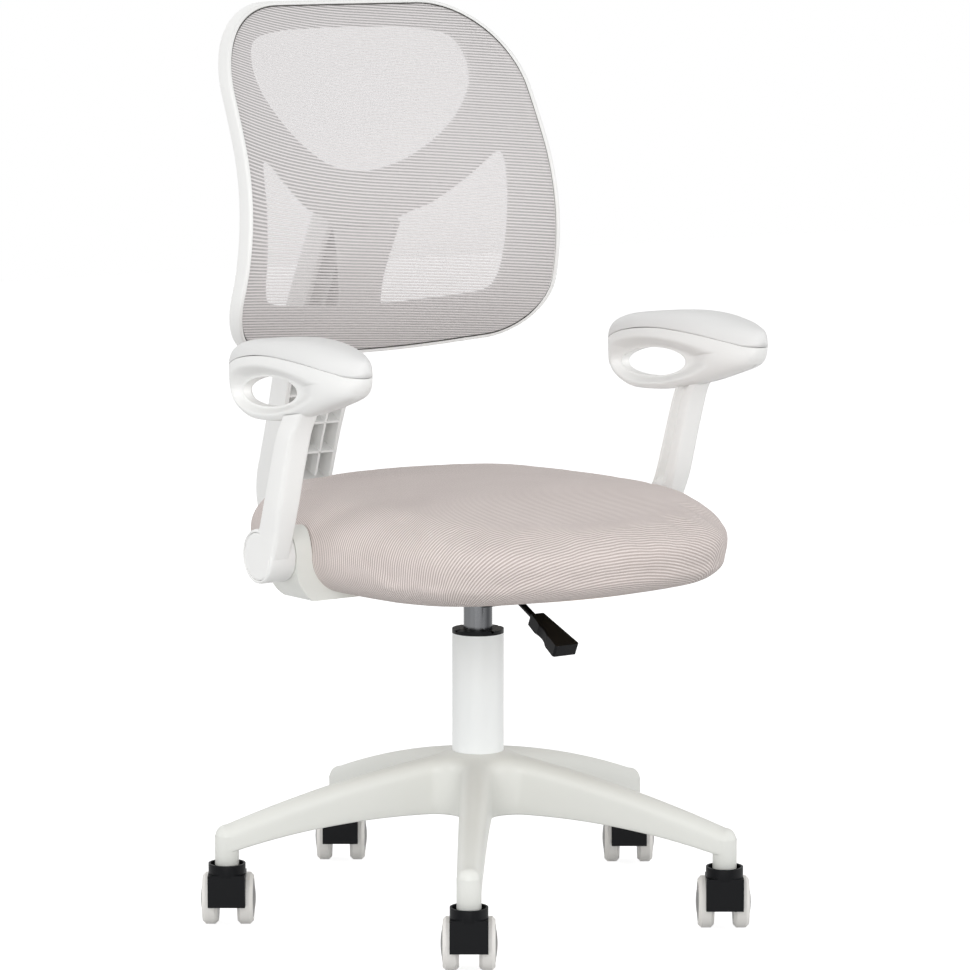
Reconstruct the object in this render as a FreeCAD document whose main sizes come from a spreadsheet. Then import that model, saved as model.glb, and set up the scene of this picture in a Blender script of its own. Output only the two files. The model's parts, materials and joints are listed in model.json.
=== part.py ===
import FreeCAD, Part
import math
import os
import re
import Sketcher

# A child's desk chair on casters, in millimetres. +Z is up, the sitter faces -Y, and the origin is on the
# floor under the column. Seat pieces are drawn in the seat's own frame, whose XY plane is the underside of
# the seat board, tilted back a little. Arm pieces are drawn about the pivot that they flip on.

DIMENSIONS = {
    # Fits
    "running_gap": 0.05,  # radial play of a pin or shaft in its hole
    "seat_gap": 0.3,  # room between faces that stay apart
    # Star base
    "stem_circle": 249.3,  # column axis to caster stem
    "first_leg": -126.3,  # heading of the first leg, degrees
    "hub_radius": 29,
    "hub_top": 161.8,
    "hub_bottom": 98,
    "leg_width_hub": 32,
    "leg_mid_radius": 142,  # where the leg's middle heights are taken
    "leg_top_axis": 163.5,  # height of the top line at the column axis
    "leg_top_mid": 134.2,
    "leg_top_end": 100.5,
    "leg_under_axis": 99,  # height of the underside at the column axis
    "leg_under_mid": 96,
    "leg_under_end": 74.5,
    "leg_edge_round": 8.5,
    "leg_wall": 4,
    "boss_radius": 11.5,
    "boss_bottom": 61,
    # Caster stems and casters
    "stem_radius": 5.5,
    "stem_in_boss": 22,
    "stem_in_housing": 18,
    "stem_shoulder_radius": 8,
    "caster_yaw": 55.5,  # heading in which the wheels trail, degrees
    "caster_trail": 18,
    "wheel_radius": 25,
    "wheel_width": 15,
    "wheel_spacing": 18.6,  # between the inner faces of the two tyres
    "tyre_depth": 6,
    "tyre_round": 3,
    "hub_dome": 0.6,
    "hub_dome_radius": 15,
    "axle_radius": 3,
    "web_half_width": 7.5,
    "web_radius": 7,
    "wheel_room": 1.2,  # room round a wheel inside the hood
    "hood_half_width": 17.75,
    "hood_front": 17,
    "hood_bottom": 23,
    "cup_radius": 17.75,
    "cup_wall": 2,
    "cup_floor": 54,
    "cup_top": 63.5,
    # Gas lift
    "tube_radius": 25,
    "tube_wall": 2,
    "tube_bottom": 99,
    "tube_top": 274.5,
    "tube_end": 4,  # thickness of the tube's closed foot
    "bush_flange": 4,
    "bush_length": 60,
    "bush_notch": 3,
    "cylinder_radius": 14,
    "cylinder_wall": 2,
    "cylinder_bottom": 146,
    "cylinder_gland": 8,
    "chamber_top": 290,
    "cylinder_top": 326,
    "cone_drop": 0.6,  # how much the top cone narrows in radius
    "rod_radius": 5,
    "rod_shoulder_radius": 9,
    "rod_shoulder": 4,
    "rod_tail": 6,
    "piston_bottom": 206,
    "piston_length": 10,
    "bearing_radius": 15,
    "bearing_height": 6,
    "clip_radius": 9,
    "clip_height": 3,
    "pin_radius": 4,
    "pin_depth": 20,
    "pin_proud": 7,
    # Seat
    "board_level": 333.5,  # height of the board's underside over the column
    "seat_tilt": 1,  # degrees, front up
    "board_thickness": 12,
    "board_inset": 42,
    "cushion_half_width": 192,
    "cushion_half_depth": 237,
    "cushion_forward": 13,
    "front_corner": 106,  # corner radius of the seat in front
    "front_bulge": 13,  # how far the sides bow out between the corners
    "rear_corner": 118,
    "rear_bulge": 13,
    "cushion_height": 78,
    "cushion_nose": 32,
    "cushion_crown": 10,
    # Mechanism
    "plate_thickness": 3,
    "plate_half_width": 75,
    "plate_half_depth": 85,
    "pan_half_width": 40,
    "pan_half_depth": 68,
    "pan_depth": 20,
    "pan_wall": 2.5,
    "socket_radius": 20,
    "socket_bottom": 303,
    "slot_half_width": 9,
    "slot_front": 44,
    "slot_back": 12,
    "window_half_width": 12,
    "window_depth": 16,
    # Lever
    "lever_radius": 3,
    "lever_pin_radius": 2.5,
    "lever_pivot_front": 50,
    "lever_pivot_level": 323,
    "lever_slope": 25,  # degrees below level, in front of the pivot
    "lever_reach": 50,  # pivot to the paddle's neck
    "paddle_length": 56,
    "paddle_width": 27,
    "paddle_neck": 14,
    "paddle_thickness": 12,
    "paddle_round": 2,
    "paddle_grip": 26,  # depth to which the rod goes into the paddle
    "notch_radius": 24,
    "notch_depth": 5,
    # Arms
    "pivot_back": 19,
    "pivot_up": 33.5,
    "bracket_outer": 209,
    "bracket_half": 26,
    "wing_thickness": 10,
    "wing_reach": 106,  # mid-plane to the inner end of the bracket's wing
    "barrel_radius": 25.8,
    "barrel_length": 28,
    "cap_radius": 22.3,
    "cap_thickness": 4,
    "pivot_pin_radius": 6,
    "pin_head_radius": 11,
    "pin_head": 5,
    "pin_grip": 12,  # depth of the pin in the bracket
    "post_width": 28,
    "post_thickness": 22,
    "post_lean": 18.4,  # degrees forward of upright
    "post_forward": 15.5,  # post axis in front of the pivot at its level
    "post_top": 141,  # level of the post's end inside the loop, above the pivot
    "post_recess": 5,
    "post_round": 4,
    "post_rim": 4.5,
    "recess_bottom": 38,
    "recess_top": 150,
    "arm_side": 223,  # mid-plane of the chair to the mid-plane of the arm
    "arm_half_width": 27,
    "arm_toe": 1.5,  # degrees that the front ends point outwards
    "arm_half_length": 112,
    "arm_forward": 57,
    "arm_mid_level": 172,  # above the pivot
    "arm_mid_rise": 14,  # from the middle to the front tip
    "arm_up": 35,
    "arm_up_taper": 13,
    "arm_down": 36,
    "arm_down_taper": 7,
    "arm_top_round": 0.45,  # corner radii of the armrest, as shares of its half width
    "arm_under_round": 0.75,
    "seam_level": 188,
    "seam_wave": 5,
    "seam_drop": 5,
    "hold_back": -20,
    "hold_level": 155,
    "hold_half_length": 56,
    "hold_half_height": 13.5,
    "hold_web": 8,  # thickness left at the edge of the hand hold
    "dish_long": 24,  # how much longer and higher the dish is than the hand hold
    "dish_high": 9,
    # Back
    "lumbar_level": 662,
    "lumbar_back": 148,
    "lumbar_radius": 200,
    "shoulder_turn": 23,  # degrees of the lumbar arc above the lumbar
    "shoulder_radius": 900,
    "back_wrap": 593,
    "back_bottom": 522,
    "back_bottom_rise": 20,  # from the middle of the lower edge to its corners
    "back_bottom_sweep": 900,
    "back_top": 873.5,
    "back_half_bottom": 187,
    "back_half_top": 170,
    "back_round_top": 92,
    "back_round_bottom": 60,
    "rim_lip": 3.5,
    "rim_depth": 18,
    "brace_thickness": 6,
    "mesh_inset": 1.5,
    "mesh_thickness": 1.5,
    "opening_round": 12,
    "opening_sweep": 70,
    "fan_tip_level": 707,
    "fan_top_level": 846,
    "fan_half_width": 126,
    "stem_half_width": 25,
    "side_half_width": 135,
    "side_bottom_level": 569,
    "side_inner_level": 668,
    "side_outer_level": 742,
    # Spine
    "spine_half_width": 33,
    "spine_top_half": 20,
    "spine_taper_start": 470,
    "spine_taper_end": 700,
    "tongue_front": 92,
    "tongue_thickness": 14,
    "spine_bend_back": 270,
    "spine_bend_radius": 47,
    "spine_thickness": 38,
    "spine_lean": 25,
    "spine_rise": 420,
    "spine_wall": 4,
    "spine_rib": 2.5,
    "spine_rib_pitch": 33,
    "spine_cell_depth": 24,
    "spine_cell_rows": 4,
    "spine_cell_columns": 4,
    # Bolts
    "bolt_radius": 3,
    "bolt_length": 12,
    "bolt_head_radius": 5.5,
    "bolt_head": 3.5,
    "bolt_clamp": 3,  # what is left of a piece under a bolt's head
    "plate_bolt_x": 60,
    "plate_bolt_y": 68,
    "wing_bolt_x": 122,
    "wing_bolt_y": 15,
    "tongue_bolt_x": 20,
    "tongue_bolt_back": 125,
    "back_bolt_x": 11,
    "back_bolt_level": 716,
}

LEG_COUNT = 5
UP = FreeCAD.Vector(0, 0, 1)
ORIGIN = FreeCAD.Vector(0, 0, 0)
TURNS = {
    "Z": FreeCAD.Rotation(),
    "X": FreeCAD.Rotation(FreeCAD.Vector(0, 1, 0), 90),
    "-X": FreeCAD.Rotation(FreeCAD.Vector(0, 1, 0), -90),
}

doc = FreeCAD.newDocument("kids_desk_chair")
nodes = []


# The sheet of sizes, and ways to use it


def make_sheet():
    """The spreadsheet that holds every driving dimension under its own name."""
    table = doc.addObject("Spreadsheet::Sheet", "Sizes")
    for row, (name, value) in enumerate(DIMENSIONS.items(), start=1):
        table.set(f"A{row}", name)
        table.set(f"B{row}", str(value))
        table.setAlias(f"B{row}", name)
    doc.recompute()
    return table


sheet = make_sheet()


def size(name):
    """The number in the sheet's cell of that name."""
    return float(sheet.get(name))


def formula(text):
    """An expression over size names, with each name led by the sheet's own."""
    return re.sub(r"[a-z_]+", lambda word: "Sizes." + word[0] if word[0] in DIMENSIONS else word[0], text)


def bind(item, places):
    """Tie properties of an object to expressions over size names."""
    for place, text in places.items():
        item.setExpression(place, formula(text))


def put(item, corner):
    """Tie an object's place to three expressions."""
    bind(item, {f"Placement.Base.{axis}": text for axis, text in zip("xyz", corner)})


def vec(x, y, z):
    return FreeCAD.Vector(x, y, z)


# Building blocks


def add_node(item, label):
    """List an object as a sub-part under its label."""
    item.Label = label
    nodes.append(item)
    return item


def box(name, spans, corner):
    item = doc.addObject("Part::Box", name)
    bind(item, dict(zip(("Length", "Width", "Height"), spans)))
    put(item, corner)
    return item


def cylinder(name, radius, length, start, axis="Z"):
    item = doc.addObject("Part::Cylinder", name)
    item.Placement = FreeCAD.Placement(ORIGIN, TURNS[axis])
    bind(item, {"Radius": radius, "Height": length})
    put(item, start)
    return item


def joined(name, items):
    item = doc.addObject("Part::MultiFuse", name)
    item.Shapes = items
    return item


def cut(name, base, tools):
    item = doc.addObject("Part::Cut", name)
    item.Base = base
    item.Tool = tools[0] if len(tools) == 1 else joined(name + "_tools", tools)
    return item


def turned(label, outline):
    """A body revolved about Z from corner expressions of (radius, height)."""
    body = doc.addObject("PartDesign::Body", label)
    sketch = body.newObject("Sketcher::SketchObject", label + "_outline")
    upright = [plane for plane in body.Origin.OriginFeatures if plane.Role == "XZ_Plane"]
    sketch.AttachmentSupport = (upright[0], [""])
    sketch.MapMode = "FlatFace"
    texts = [(formula(radius), formula(height)) for radius, height in outline]
    corners = [[float(sketch.evalExpression(text)) for text in pair] for pair in texts]
    count = len(corners)
    for index, corner in enumerate(corners):
        after = corners[(index + 1) % count]
        sketch.addGeometry(Part.LineSegment(vec(*corner, 0), vec(*after, 0)))
    for index in range(count):
        sketch.addConstraint(Sketcher.Constraint("Coincident", index, 2, (index + 1) % count, 1))
    for index, pair in enumerate(texts):
        for kind, text, value in zip(("DistanceX", "DistanceY"), pair, corners[index]):
            number = sketch.addConstraint(Sketcher.Constraint(kind, -1, 1, index, 1, value))
            sketch.setExpression(f"Constraints[{number}]", text)
    turn = body.newObject("PartDesign::Revolution", label + "_turn")
    turn.Profile = sketch
    turn.ReferenceAxis = (sketch, ["V_Axis"])
    turn.Angle = 360
    return body


def ring(label, inner, outer, low, high):
    """A plain turned ring."""
    return turned(label, [(inner, low), (outer, low), (outer, high), (inner, high)])


def shaped(label, shape, placement=None):
    """A sub-part whose sculpted shape is made from the sheet's sizes."""
    item = doc.addObject("Part::Feature", label)
    item.Shape = shape
    if placement is not None:
        item.Placement = placement
    return add_node(item, label)


def plate(points, thickness):
    """A flat face through points, thickened along a vector."""
    face = Part.Face(Part.makePolygon(points + points[:1]))
    return face.extrude(thickness)


def rounded_edges(solid, radius, chosen):
    """Fillet the edges that a test picks."""
    return solid.makeFillet(radius, [edge for edge in solid.Edges if chosen(edge)])


# Frames of the seat and of the arms


def seat_placement():
    """The seat's frame: the board's underside over the column, tilted back."""
    tilt = FreeCAD.Rotation(vec(-1, 0, 0), size("seat_tilt"))
    return FreeCAD.Placement(vec(0, 0, size("board_level")), tilt)


def on_seat(item):
    """Tie an object's place and turn to the seat's frame."""
    item.Placement = FreeCAD.Placement(ORIGIN, FreeCAD.Rotation(vec(-1, 0, 0), 1))
    bind(item, {"Placement.Base.z": "board_level", "Placement.Rotation.Angle": "seat_tilt"})
    return item


PIVOT_Y = "pivot_back * cos(seat_tilt) + pivot_up * sin(seat_tilt)"
PIVOT_Z = "board_level - pivot_back * sin(seat_tilt) + pivot_up * cos(seat_tilt)"


def arm_placement():
    """The arms' frame: level, with its X axis along the flip pivots."""
    pivot = seat_placement().multVec(vec(0, size("pivot_back"), size("pivot_up")))
    return FreeCAD.Placement(pivot, FreeCAD.Rotation())


# Base, column and casters


def leg_side(top_drop, start, end):
    """A leg's side face in the XZ plane, from one radius to another, its top lowered by top_drop."""
    middle = size("leg_mid_radius")
    far = size("stem_circle")

    def arc(kind, drop):
        points = [vec(radius, 0, size(f"leg_{kind}_{place}") - drop)
                  for radius, place in ((0, "axis"), (middle, "mid"), (far, "end"))]
        return Part.Arc(*points).toShape().Curve

    def height(curve, radius):
        cutter = Part.Line(vec(radius, 0, 0), vec(radius, 0, 1))
        crossings = curve.intersectCC(cutter)
        return min((point.Z for point in crossings), key=lambda level: abs(level - size("leg_top_mid")))

    top = arc("top", top_drop)
    under = arc("under", 0)
    half = (start + end) / 2
    ridge = [vec(radius, 0, height(top, radius)) for radius in (start, half, end)]
    belly = [vec(radius, 0, height(under, radius)) for radius in (end, half, start)]
    edges = [
        Part.Arc(*ridge).toShape(),
        Part.makeLine(ridge[2], belly[0]),
        Part.Arc(*belly).toShape(),
        Part.makeLine(belly[2], ridge[0]),
    ]
    return Part.Face(Part.Wire(edges))


def leg_plan(margin, end):
    """A leg seen from above: it narrows from the hub to the width of its boss."""
    near = size("leg_width_hub") / 2 - margin
    far = size("boss_radius") - margin
    corners = [vec(0, -near, 0), vec(end, -far, 0), vec(end, far, 0), vec(0, near, 0)]
    return plate(corners, vec(0, 0, size("hub_top") + size("leg_top_axis")))


def star_leg():
    """One leg along +X: a rounded arched box with a boss at its end, open underneath."""
    reach = size("stem_circle")
    end = reach + size("boss_radius")
    width = size("leg_width_hub")
    side = leg_side(0, 0, end)
    side.translate(vec(0, -width / 2, 0))
    tip = Part.makeCylinder(size("boss_radius"), size("hub_top") * 2, vec(reach, 0, 0))
    leg = side.extrude(vec(0, width, 0)).common(leg_plan(0, reach).fuse(tip).removeSplitter())
    ridge = max(leg.Faces, key=lambda face: face.CenterOfMass.z)
    far_edges = [edge for edge in ridge.Edges if edge.BoundBox.XMax > width]
    leg = leg.makeFillet(size("leg_edge_round"), far_edges)
    hollow_end = reach - size("boss_radius") - size("leg_wall")
    hollow = leg_side(size("leg_wall") * 1.5, size("hub_radius") + size("leg_wall"), hollow_end)
    hollow.translate(vec(0, -width / 2, 0))
    leg = leg.cut(hollow.extrude(vec(0, width, 0)).common(leg_plan(size("leg_wall"), reach)))
    boss_top = size("leg_under_end") + size("leg_wall")
    boss = Part.makeCylinder(size("boss_radius"), boss_top - size("boss_bottom"), vec(reach, 0, size("boss_bottom")))
    return leg.fuse(boss)


def leg_heading(index):
    return size("first_leg") + 360 / LEG_COUNT * index


def star_base():
    """Hub and five legs in one moulding, bored for the column and the caster stems."""
    hub_height = size("hub_top") - size("hub_bottom")
    whole = Part.makeCylinder(size("hub_radius"), hub_height, vec(0, 0, size("hub_bottom")))
    leg = star_leg()
    bores = []
    for index in range(LEG_COUNT):
        copy = leg.copy()
        copy.rotate(ORIGIN, UP, leg_heading(index))
        whole = whole.fuse(copy)
        bore = Part.makeCylinder(size("stem_radius") + size("running_gap"), size("stem_in_boss") + size("seat_gap"),
                                 vec(size("stem_circle"), 0, size("boss_bottom")))
        bore.rotate(ORIGIN, UP, leg_heading(index))
        bores.append(bore)
    above = Part.makeCylinder(size("stem_circle"), size("hub_top"), vec(0, 0, size("hub_top")))
    column = Part.makeCylinder(size("tube_radius") + size("running_gap"), size("hub_top") * 2)
    shaped("star_base", whole.cut(above).cut(column).cut(Part.makeCompound(bores)).removeSplitter())


STEM_X = "stem_circle * cos(first_leg + {turn})"
STEM_Y = "stem_circle * sin(first_leg + {turn})"


def at_stem(item, index):
    """Stand an object at a caster's stem, turned so that its own -Y is where the wheels trail."""
    turn = 360 / LEG_COUNT * index
    item.Placement = FreeCAD.Placement(ORIGIN, FreeCAD.Rotation(UP, 1))
    put(item, (STEM_X.format(turn=turn), STEM_Y.format(turn=turn), "0"))
    bind(item, {"Placement.Rotation.Angle": "caster_yaw + 90"})
    return item


def at_wheel(item, index, side):
    """Lay an object that was turned about Z along a caster's axle, on one side of it."""
    turn = 360 / LEG_COUNT * index
    lying = FreeCAD.Rotation(UP, size("caster_yaw") + 90).multiply(TURNS["X" if side > 0 else "-X"])
    item.Placement = FreeCAD.Placement(ORIGIN, lying)
    put(item, (STEM_X.format(turn=turn) + " + caster_trail * cos(caster_yaw)",
               STEM_Y.format(turn=turn) + " + caster_trail * sin(caster_yaw)", "wheel_radius"))
    return item


def caster_stems():
    """Five steel stems, one pressed into each leg's boss."""
    stems = []
    foot = "cup_floor - stem_in_housing"
    shelf = "cup_floor + seat_gap"
    for index in range(LEG_COUNT):
        stem = turned(f"stem_{index + 1}", [
            ("0", foot), ("stem_radius", foot), ("stem_radius", shelf), ("stem_shoulder_radius", shelf),
            ("stem_shoulder_radius", "boss_bottom"), ("stem_radius", "boss_bottom"),
            ("stem_radius", "boss_bottom + stem_in_boss"), ("0", "boss_bottom + stem_in_boss")])
        stems.append(at_stem(stem, index))
    group = doc.addObject("Part::Compound", "caster_stems")
    group.Links = stems
    add_node(group, "caster_stems")


def caster_housing(index):
    """Hooded housing: a web between the wheels, a fender in front of them and an open cup round the stem."""
    name = f"caster_{index + 1}_"
    axle_at = ("0", "-caster_trail", "wheel_radius")
    web = cylinder(name + "web", "web_radius", "2 * web_half_width",
                   ("-web_half_width", "-caster_trail", "wheel_radius"), "X")
    neck = box(name + "neck", ("2 * web_half_width", "caster_trail + hood_front", "cup_floor - wheel_radius"),
               ("-web_half_width", "-caster_trail", "wheel_radius"))
    hood = box(name + "hood", ("2 * hood_half_width", "2 * hood_front", "cup_floor - hood_bottom"),
               ("-hood_half_width", "-hood_front", "hood_bottom"))
    wells = [cylinder(name + f"well_{side}", "wheel_radius + wheel_room", "hood_half_width", start, "X")
             for side, start in (("a", ("web_half_width", *axle_at[1:])),
                                 ("b", ("-web_half_width - hood_half_width", *axle_at[1:])))]
    fender = cut(name + "fender", hood, wells)
    cup = cylinder(name + "cup", "cup_radius", "cup_top - cup_floor + cup_wall", ("0", "0", "cup_floor - cup_wall"))
    body = joined(name + "body", [web, neck, fender, cup])
    hollow = cylinder(name + "hollow", "cup_radius - cup_wall", "cup_top", ("0", "0", "cup_floor"))
    stem_bore = cylinder(name + "stem_bore", "stem_radius + running_gap", "stem_in_housing + seat_gap",
                         ("0", "0", "cup_floor - stem_in_housing - seat_gap"))
    axle_bore = cylinder(name + "axle_bore", "axle_radius", "4 * web_half_width",
                         ("-2 * web_half_width", *axle_at[1:]), "X")
    housing = cut(name + "housing", body, [hollow, stem_bore, axle_bore])
    add_node(at_stem(housing, index), name + "housing")


def caster_wheels(index):
    """Axle, and on each side a wheel core with a domed outer face inside a tyre."""
    name = f"caster_{index + 1}_"
    inner = "wheel_spacing / 2"
    outer = "wheel_spacing / 2 + wheel_width"
    rim = "wheel_radius - tyre_depth"
    axle = turned(name + "axle", [("0", "-(" + outer + ")"), ("axle_radius", "-(" + outer + ")"),
                                  ("axle_radius", outer), ("0", outer)])
    add_node(at_wheel(axle, index, 1), name + "axle")
    for side, word in ((-1, "left"), (1, "right")):
        core = turned(name + f"{word}_core", [
            ("axle_radius + running_gap", "web_half_width + seat_gap"), ("2 * axle_radius", "web_half_width + seat_gap"),
            ("2 * axle_radius", inner), (rim, inner), (rim, outer), ("hub_dome_radius", outer + " + hub_dome"),
            ("0", outer + " + hub_dome"), ("0", outer + " + running_gap"),
            ("axle_radius + running_gap", outer + " + running_gap")])
        add_node(at_wheel(core, index, side), name + f"{word}_core")
        tyre = turned(name + f"{word}_tyre", [
            (rim, inner), ("wheel_radius - tyre_round", inner), ("wheel_radius", inner + " + tyre_round"),
            ("wheel_radius", outer + " - tyre_round"), ("wheel_radius - tyre_round", outer), (rim, outer)])
        add_node(at_wheel(tyre, index, side), name + f"{word}_tyre")


def gas_lift():
    """Column tube with its bush and bearing, and the sliding cylinder on its piston rod."""
    inside = "tube_radius - tube_wall"
    floor = "tube_bottom + tube_end"
    bore = "rod_radius + running_gap"
    add_node(turned("column_tube", [
        (bore, "tube_bottom"), ("tube_radius", "tube_bottom"), ("tube_radius", "tube_top"), (inside, "tube_top"),
        (inside, floor), (bore, floor)]), "column_tube")
    throat = "cylinder_radius + running_gap"
    bush_top = "tube_top + bush_flange"
    bush = turned("bush_blank", [
        (throat, "tube_top - bush_length"), (inside, "tube_top - bush_length"), (inside, "tube_top"),
        ("tube_radius", "tube_top"), ("tube_radius", bush_top), (throat, bush_top)])
    notches = [box("bush_notch_long", ("4 * tube_radius", "bush_notch", "bush_flange"),
                   ("-2 * tube_radius", "-bush_notch / 2", "tube_top + bush_flange / 2")),
               box("bush_notch_cross", ("bush_notch", "4 * tube_radius", "bush_flange"),
                   ("-bush_notch / 2", "-2 * tube_radius", "tube_top + bush_flange / 2"))]
    collar = cylinder("bush_collar", "(tube_radius + cylinder_radius) / 2", "tube_radius", ("0", "0", "tube_top"))
    add_node(cut("guide_bush", bush, [cut("bush_slots", joined("bush_cross", notches), [collar])]), "guide_bush")
    shelf = floor + " + bearing_height"
    add_node(ring("thrust_bearing", bore, "bearing_radius", floor, shelf), "thrust_bearing")
    tail = "tube_bottom - rod_tail"
    seat = shelf + " + running_gap"
    chamber = "cylinder_radius - cylinder_wall"
    head = chamber + " - running_gap"
    add_node(turned("piston_rod", [
        ("0", tail), ("rod_radius", tail), ("rod_radius", seat), ("rod_shoulder_radius", seat),
        ("rod_shoulder_radius", seat + " + rod_shoulder"), ("rod_radius", seat + " + rod_shoulder"),
        ("rod_radius", "piston_bottom"), (head, "piston_bottom"), (head, "piston_bottom + piston_length"),
        ("0", "piston_bottom + piston_length")]), "piston_rod")
    add_node(ring("rod_clip", "rod_radius", "clip_radius", "tube_bottom - running_gap - clip_height",
                  "tube_bottom - running_gap"), "rod_clip")
    pin_bore = "pin_radius + running_gap"
    narrow = "cylinder_radius - cone_drop"
    add_node(turned("gas_cylinder", [
        (bore, "cylinder_bottom"), ("cylinder_radius", "cylinder_bottom"), ("cylinder_radius", "socket_bottom"),
        (narrow, "cylinder_top"), (pin_bore, "cylinder_top"), (pin_bore, "cylinder_top - pin_depth"),
        ("pin_radius / 2", "cylinder_top - pin_depth"), ("pin_radius / 2", "chamber_top"), (chamber, "chamber_top"),
        (chamber, "cylinder_bottom + cylinder_gland"), (bore, "cylinder_bottom + cylinder_gland")]), "gas_cylinder")


def release_pin():
    """The valve pin in the cylinder's top; the lever's inner end sits on it."""
    add_node(turned("release_pin", [
        ("0", "cylinder_top - pin_depth + 2 * pin_proud"), ("pin_radius", "cylinder_top - pin_depth + 2 * pin_proud"),
        ("pin_radius", "cylinder_top + pin_proud"), ("0", "cylinder_top + pin_proud")]), "release_pin")


# Seat


def seat_quarter(end, inset):
    """Seven points of three tangent arcs from the seat's side to its front or rear, drawn in by an inset."""
    half_width = size("cushion_half_width")
    half_depth = size("cushion_half_depth")
    corner = size(f"{end}_corner")
    hollow = corner + size(f"{end}_bulge")
    centre = vec(half_width - hollow, half_depth - hollow, 0)
    side_radius = (hollow ** 2 + centre.y ** 2 - corner ** 2) / (2 * (hollow - corner))
    end_radius = (hollow ** 2 + centre.x ** 2 - corner ** 2) / (2 * (hollow - corner))
    side_centre = vec(half_width - side_radius, 0, 0)
    end_centre = vec(0, half_depth - end_radius, 0)
    out = vec(1, 0, 0)
    along = vec(0, 1, 0)
    to_side = (centre - side_centre).normalize()
    to_end = (centre - end_centre).normalize()

    def spots(middle, radius, first, last):
        return [middle + way.normalize() * (radius - inset) for way in (first * 1, first + last, last * 1)]

    side = spots(side_centre, side_radius, out, to_side)
    bend = spots(centre, corner, to_side, to_end)
    return side + bend[1:] + spots(end_centre, end_radius, to_end, along)[1:]


def seat_outline(inset, level):
    """Closed outline of tangent arcs: bowed sides and round corners, rounder at the rear."""
    arcs = []
    for flip_x, end in ((1, "rear"), (-1, "rear"), (-1, "front"), (1, "front")):
        flip_y = 1 if end == "rear" else -1
        points = [vec(point.x * flip_x, point.y * flip_y - size("cushion_forward"), level)
                  for point in seat_quarter(end, inset)]
        if flip_x * flip_y < 0:
            points.reverse()
        arcs += [Part.Arc(*points[first:first + 3]).toShape() for first in (0, 2, 4)]
    return Part.Wire(arcs)


def bolt_tools(spots, placement):
    """Room for bolts that come up from below into the seat's frame, with their heads' way in."""
    clamp = size("bolt_clamp")
    way = size("board_level")
    tools = []
    for x, y in spots:
        shank = Part.makeCylinder(size("bolt_radius") + size("running_gap"), size("bolt_length"), vec(x, y, -clamp))
        head = Part.makeCylinder(size("bolt_head_radius") + size("running_gap"), way, vec(x, y, -clamp - way))
        tools.append(shank.fuse(head))
    room = Part.makeCompound(tools)
    room.Placement = placement
    return room


def wing_spots(side):
    return [(side * size("wing_bolt_x"), size("pivot_back") + sign * size("wing_bolt_y")) for sign in (-1, 1)]


def tongue_spots():
    return [(side * size("tongue_bolt_x"), size("tongue_bolt_back")) for side in (-1, 1)]


def plate_spots():
    return [(side * size("plate_bolt_x"), end * size("plate_bolt_y")) for side in (-1, 1) for end in (-1, 1)]


def seat_board():
    """Plywood board under the foam, with its bolt holes and the clearance slot over the lever."""
    board = Part.Face(seat_outline(size("board_inset"), 0)).extrude(vec(0, 0, size("board_thickness")))
    spots = plate_spots() + wing_spots(-1) + wing_spots(1) + tongue_spots()
    board = board.cut(bolt_tools(spots, FreeCAD.Placement()))
    slot = Part.makeBox(2 * size("slot_half_width"), size("slot_front") + size("slot_back"), size("board_thickness"),
                        vec(-size("slot_half_width"), -size("slot_front"), 0))
    shaped("seat_board", board.cut(slot), seat_placement())


def cushion_blank(grow):
    """The cushion without its pocket, grown by a margin: drawn-in rounded sides and a crowned top."""
    half = size("cushion_height") / 2
    nose = size("cushion_nose")
    steps = 8
    sections = []
    for step in range(steps + 1):
        lift = math.radians(-90 + 180 * step / steps)
        sections.append(seat_outline(nose * (1 - math.cos(lift)) - grow, half + (half + grow) * math.sin(lift)))
    blank = Part.makeLoft(sections, True, False)
    inner = min(size("front_corner"), size("rear_corner")) - nose
    dome = [seat_outline(nose - grow + inner * share,
                         2 * half + grow + size("cushion_crown") * (1 - (1 - share) ** 2))
            for share in (0, 0.3, 0.6, 0.9)]
    return blank.fuse(Part.makeLoft(dome, True, False))


def seat_cushion():
    """Foam seat with a pocket underneath for the board."""
    pocket = Part.Face(seat_outline(size("board_inset") - size("seat_gap"), 0))
    room = pocket.extrude(vec(0, 0, size("board_thickness") + size("seat_gap")))
    shaped("seat_cushion", cushion_blank(0).cut(room), seat_placement())


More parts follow.
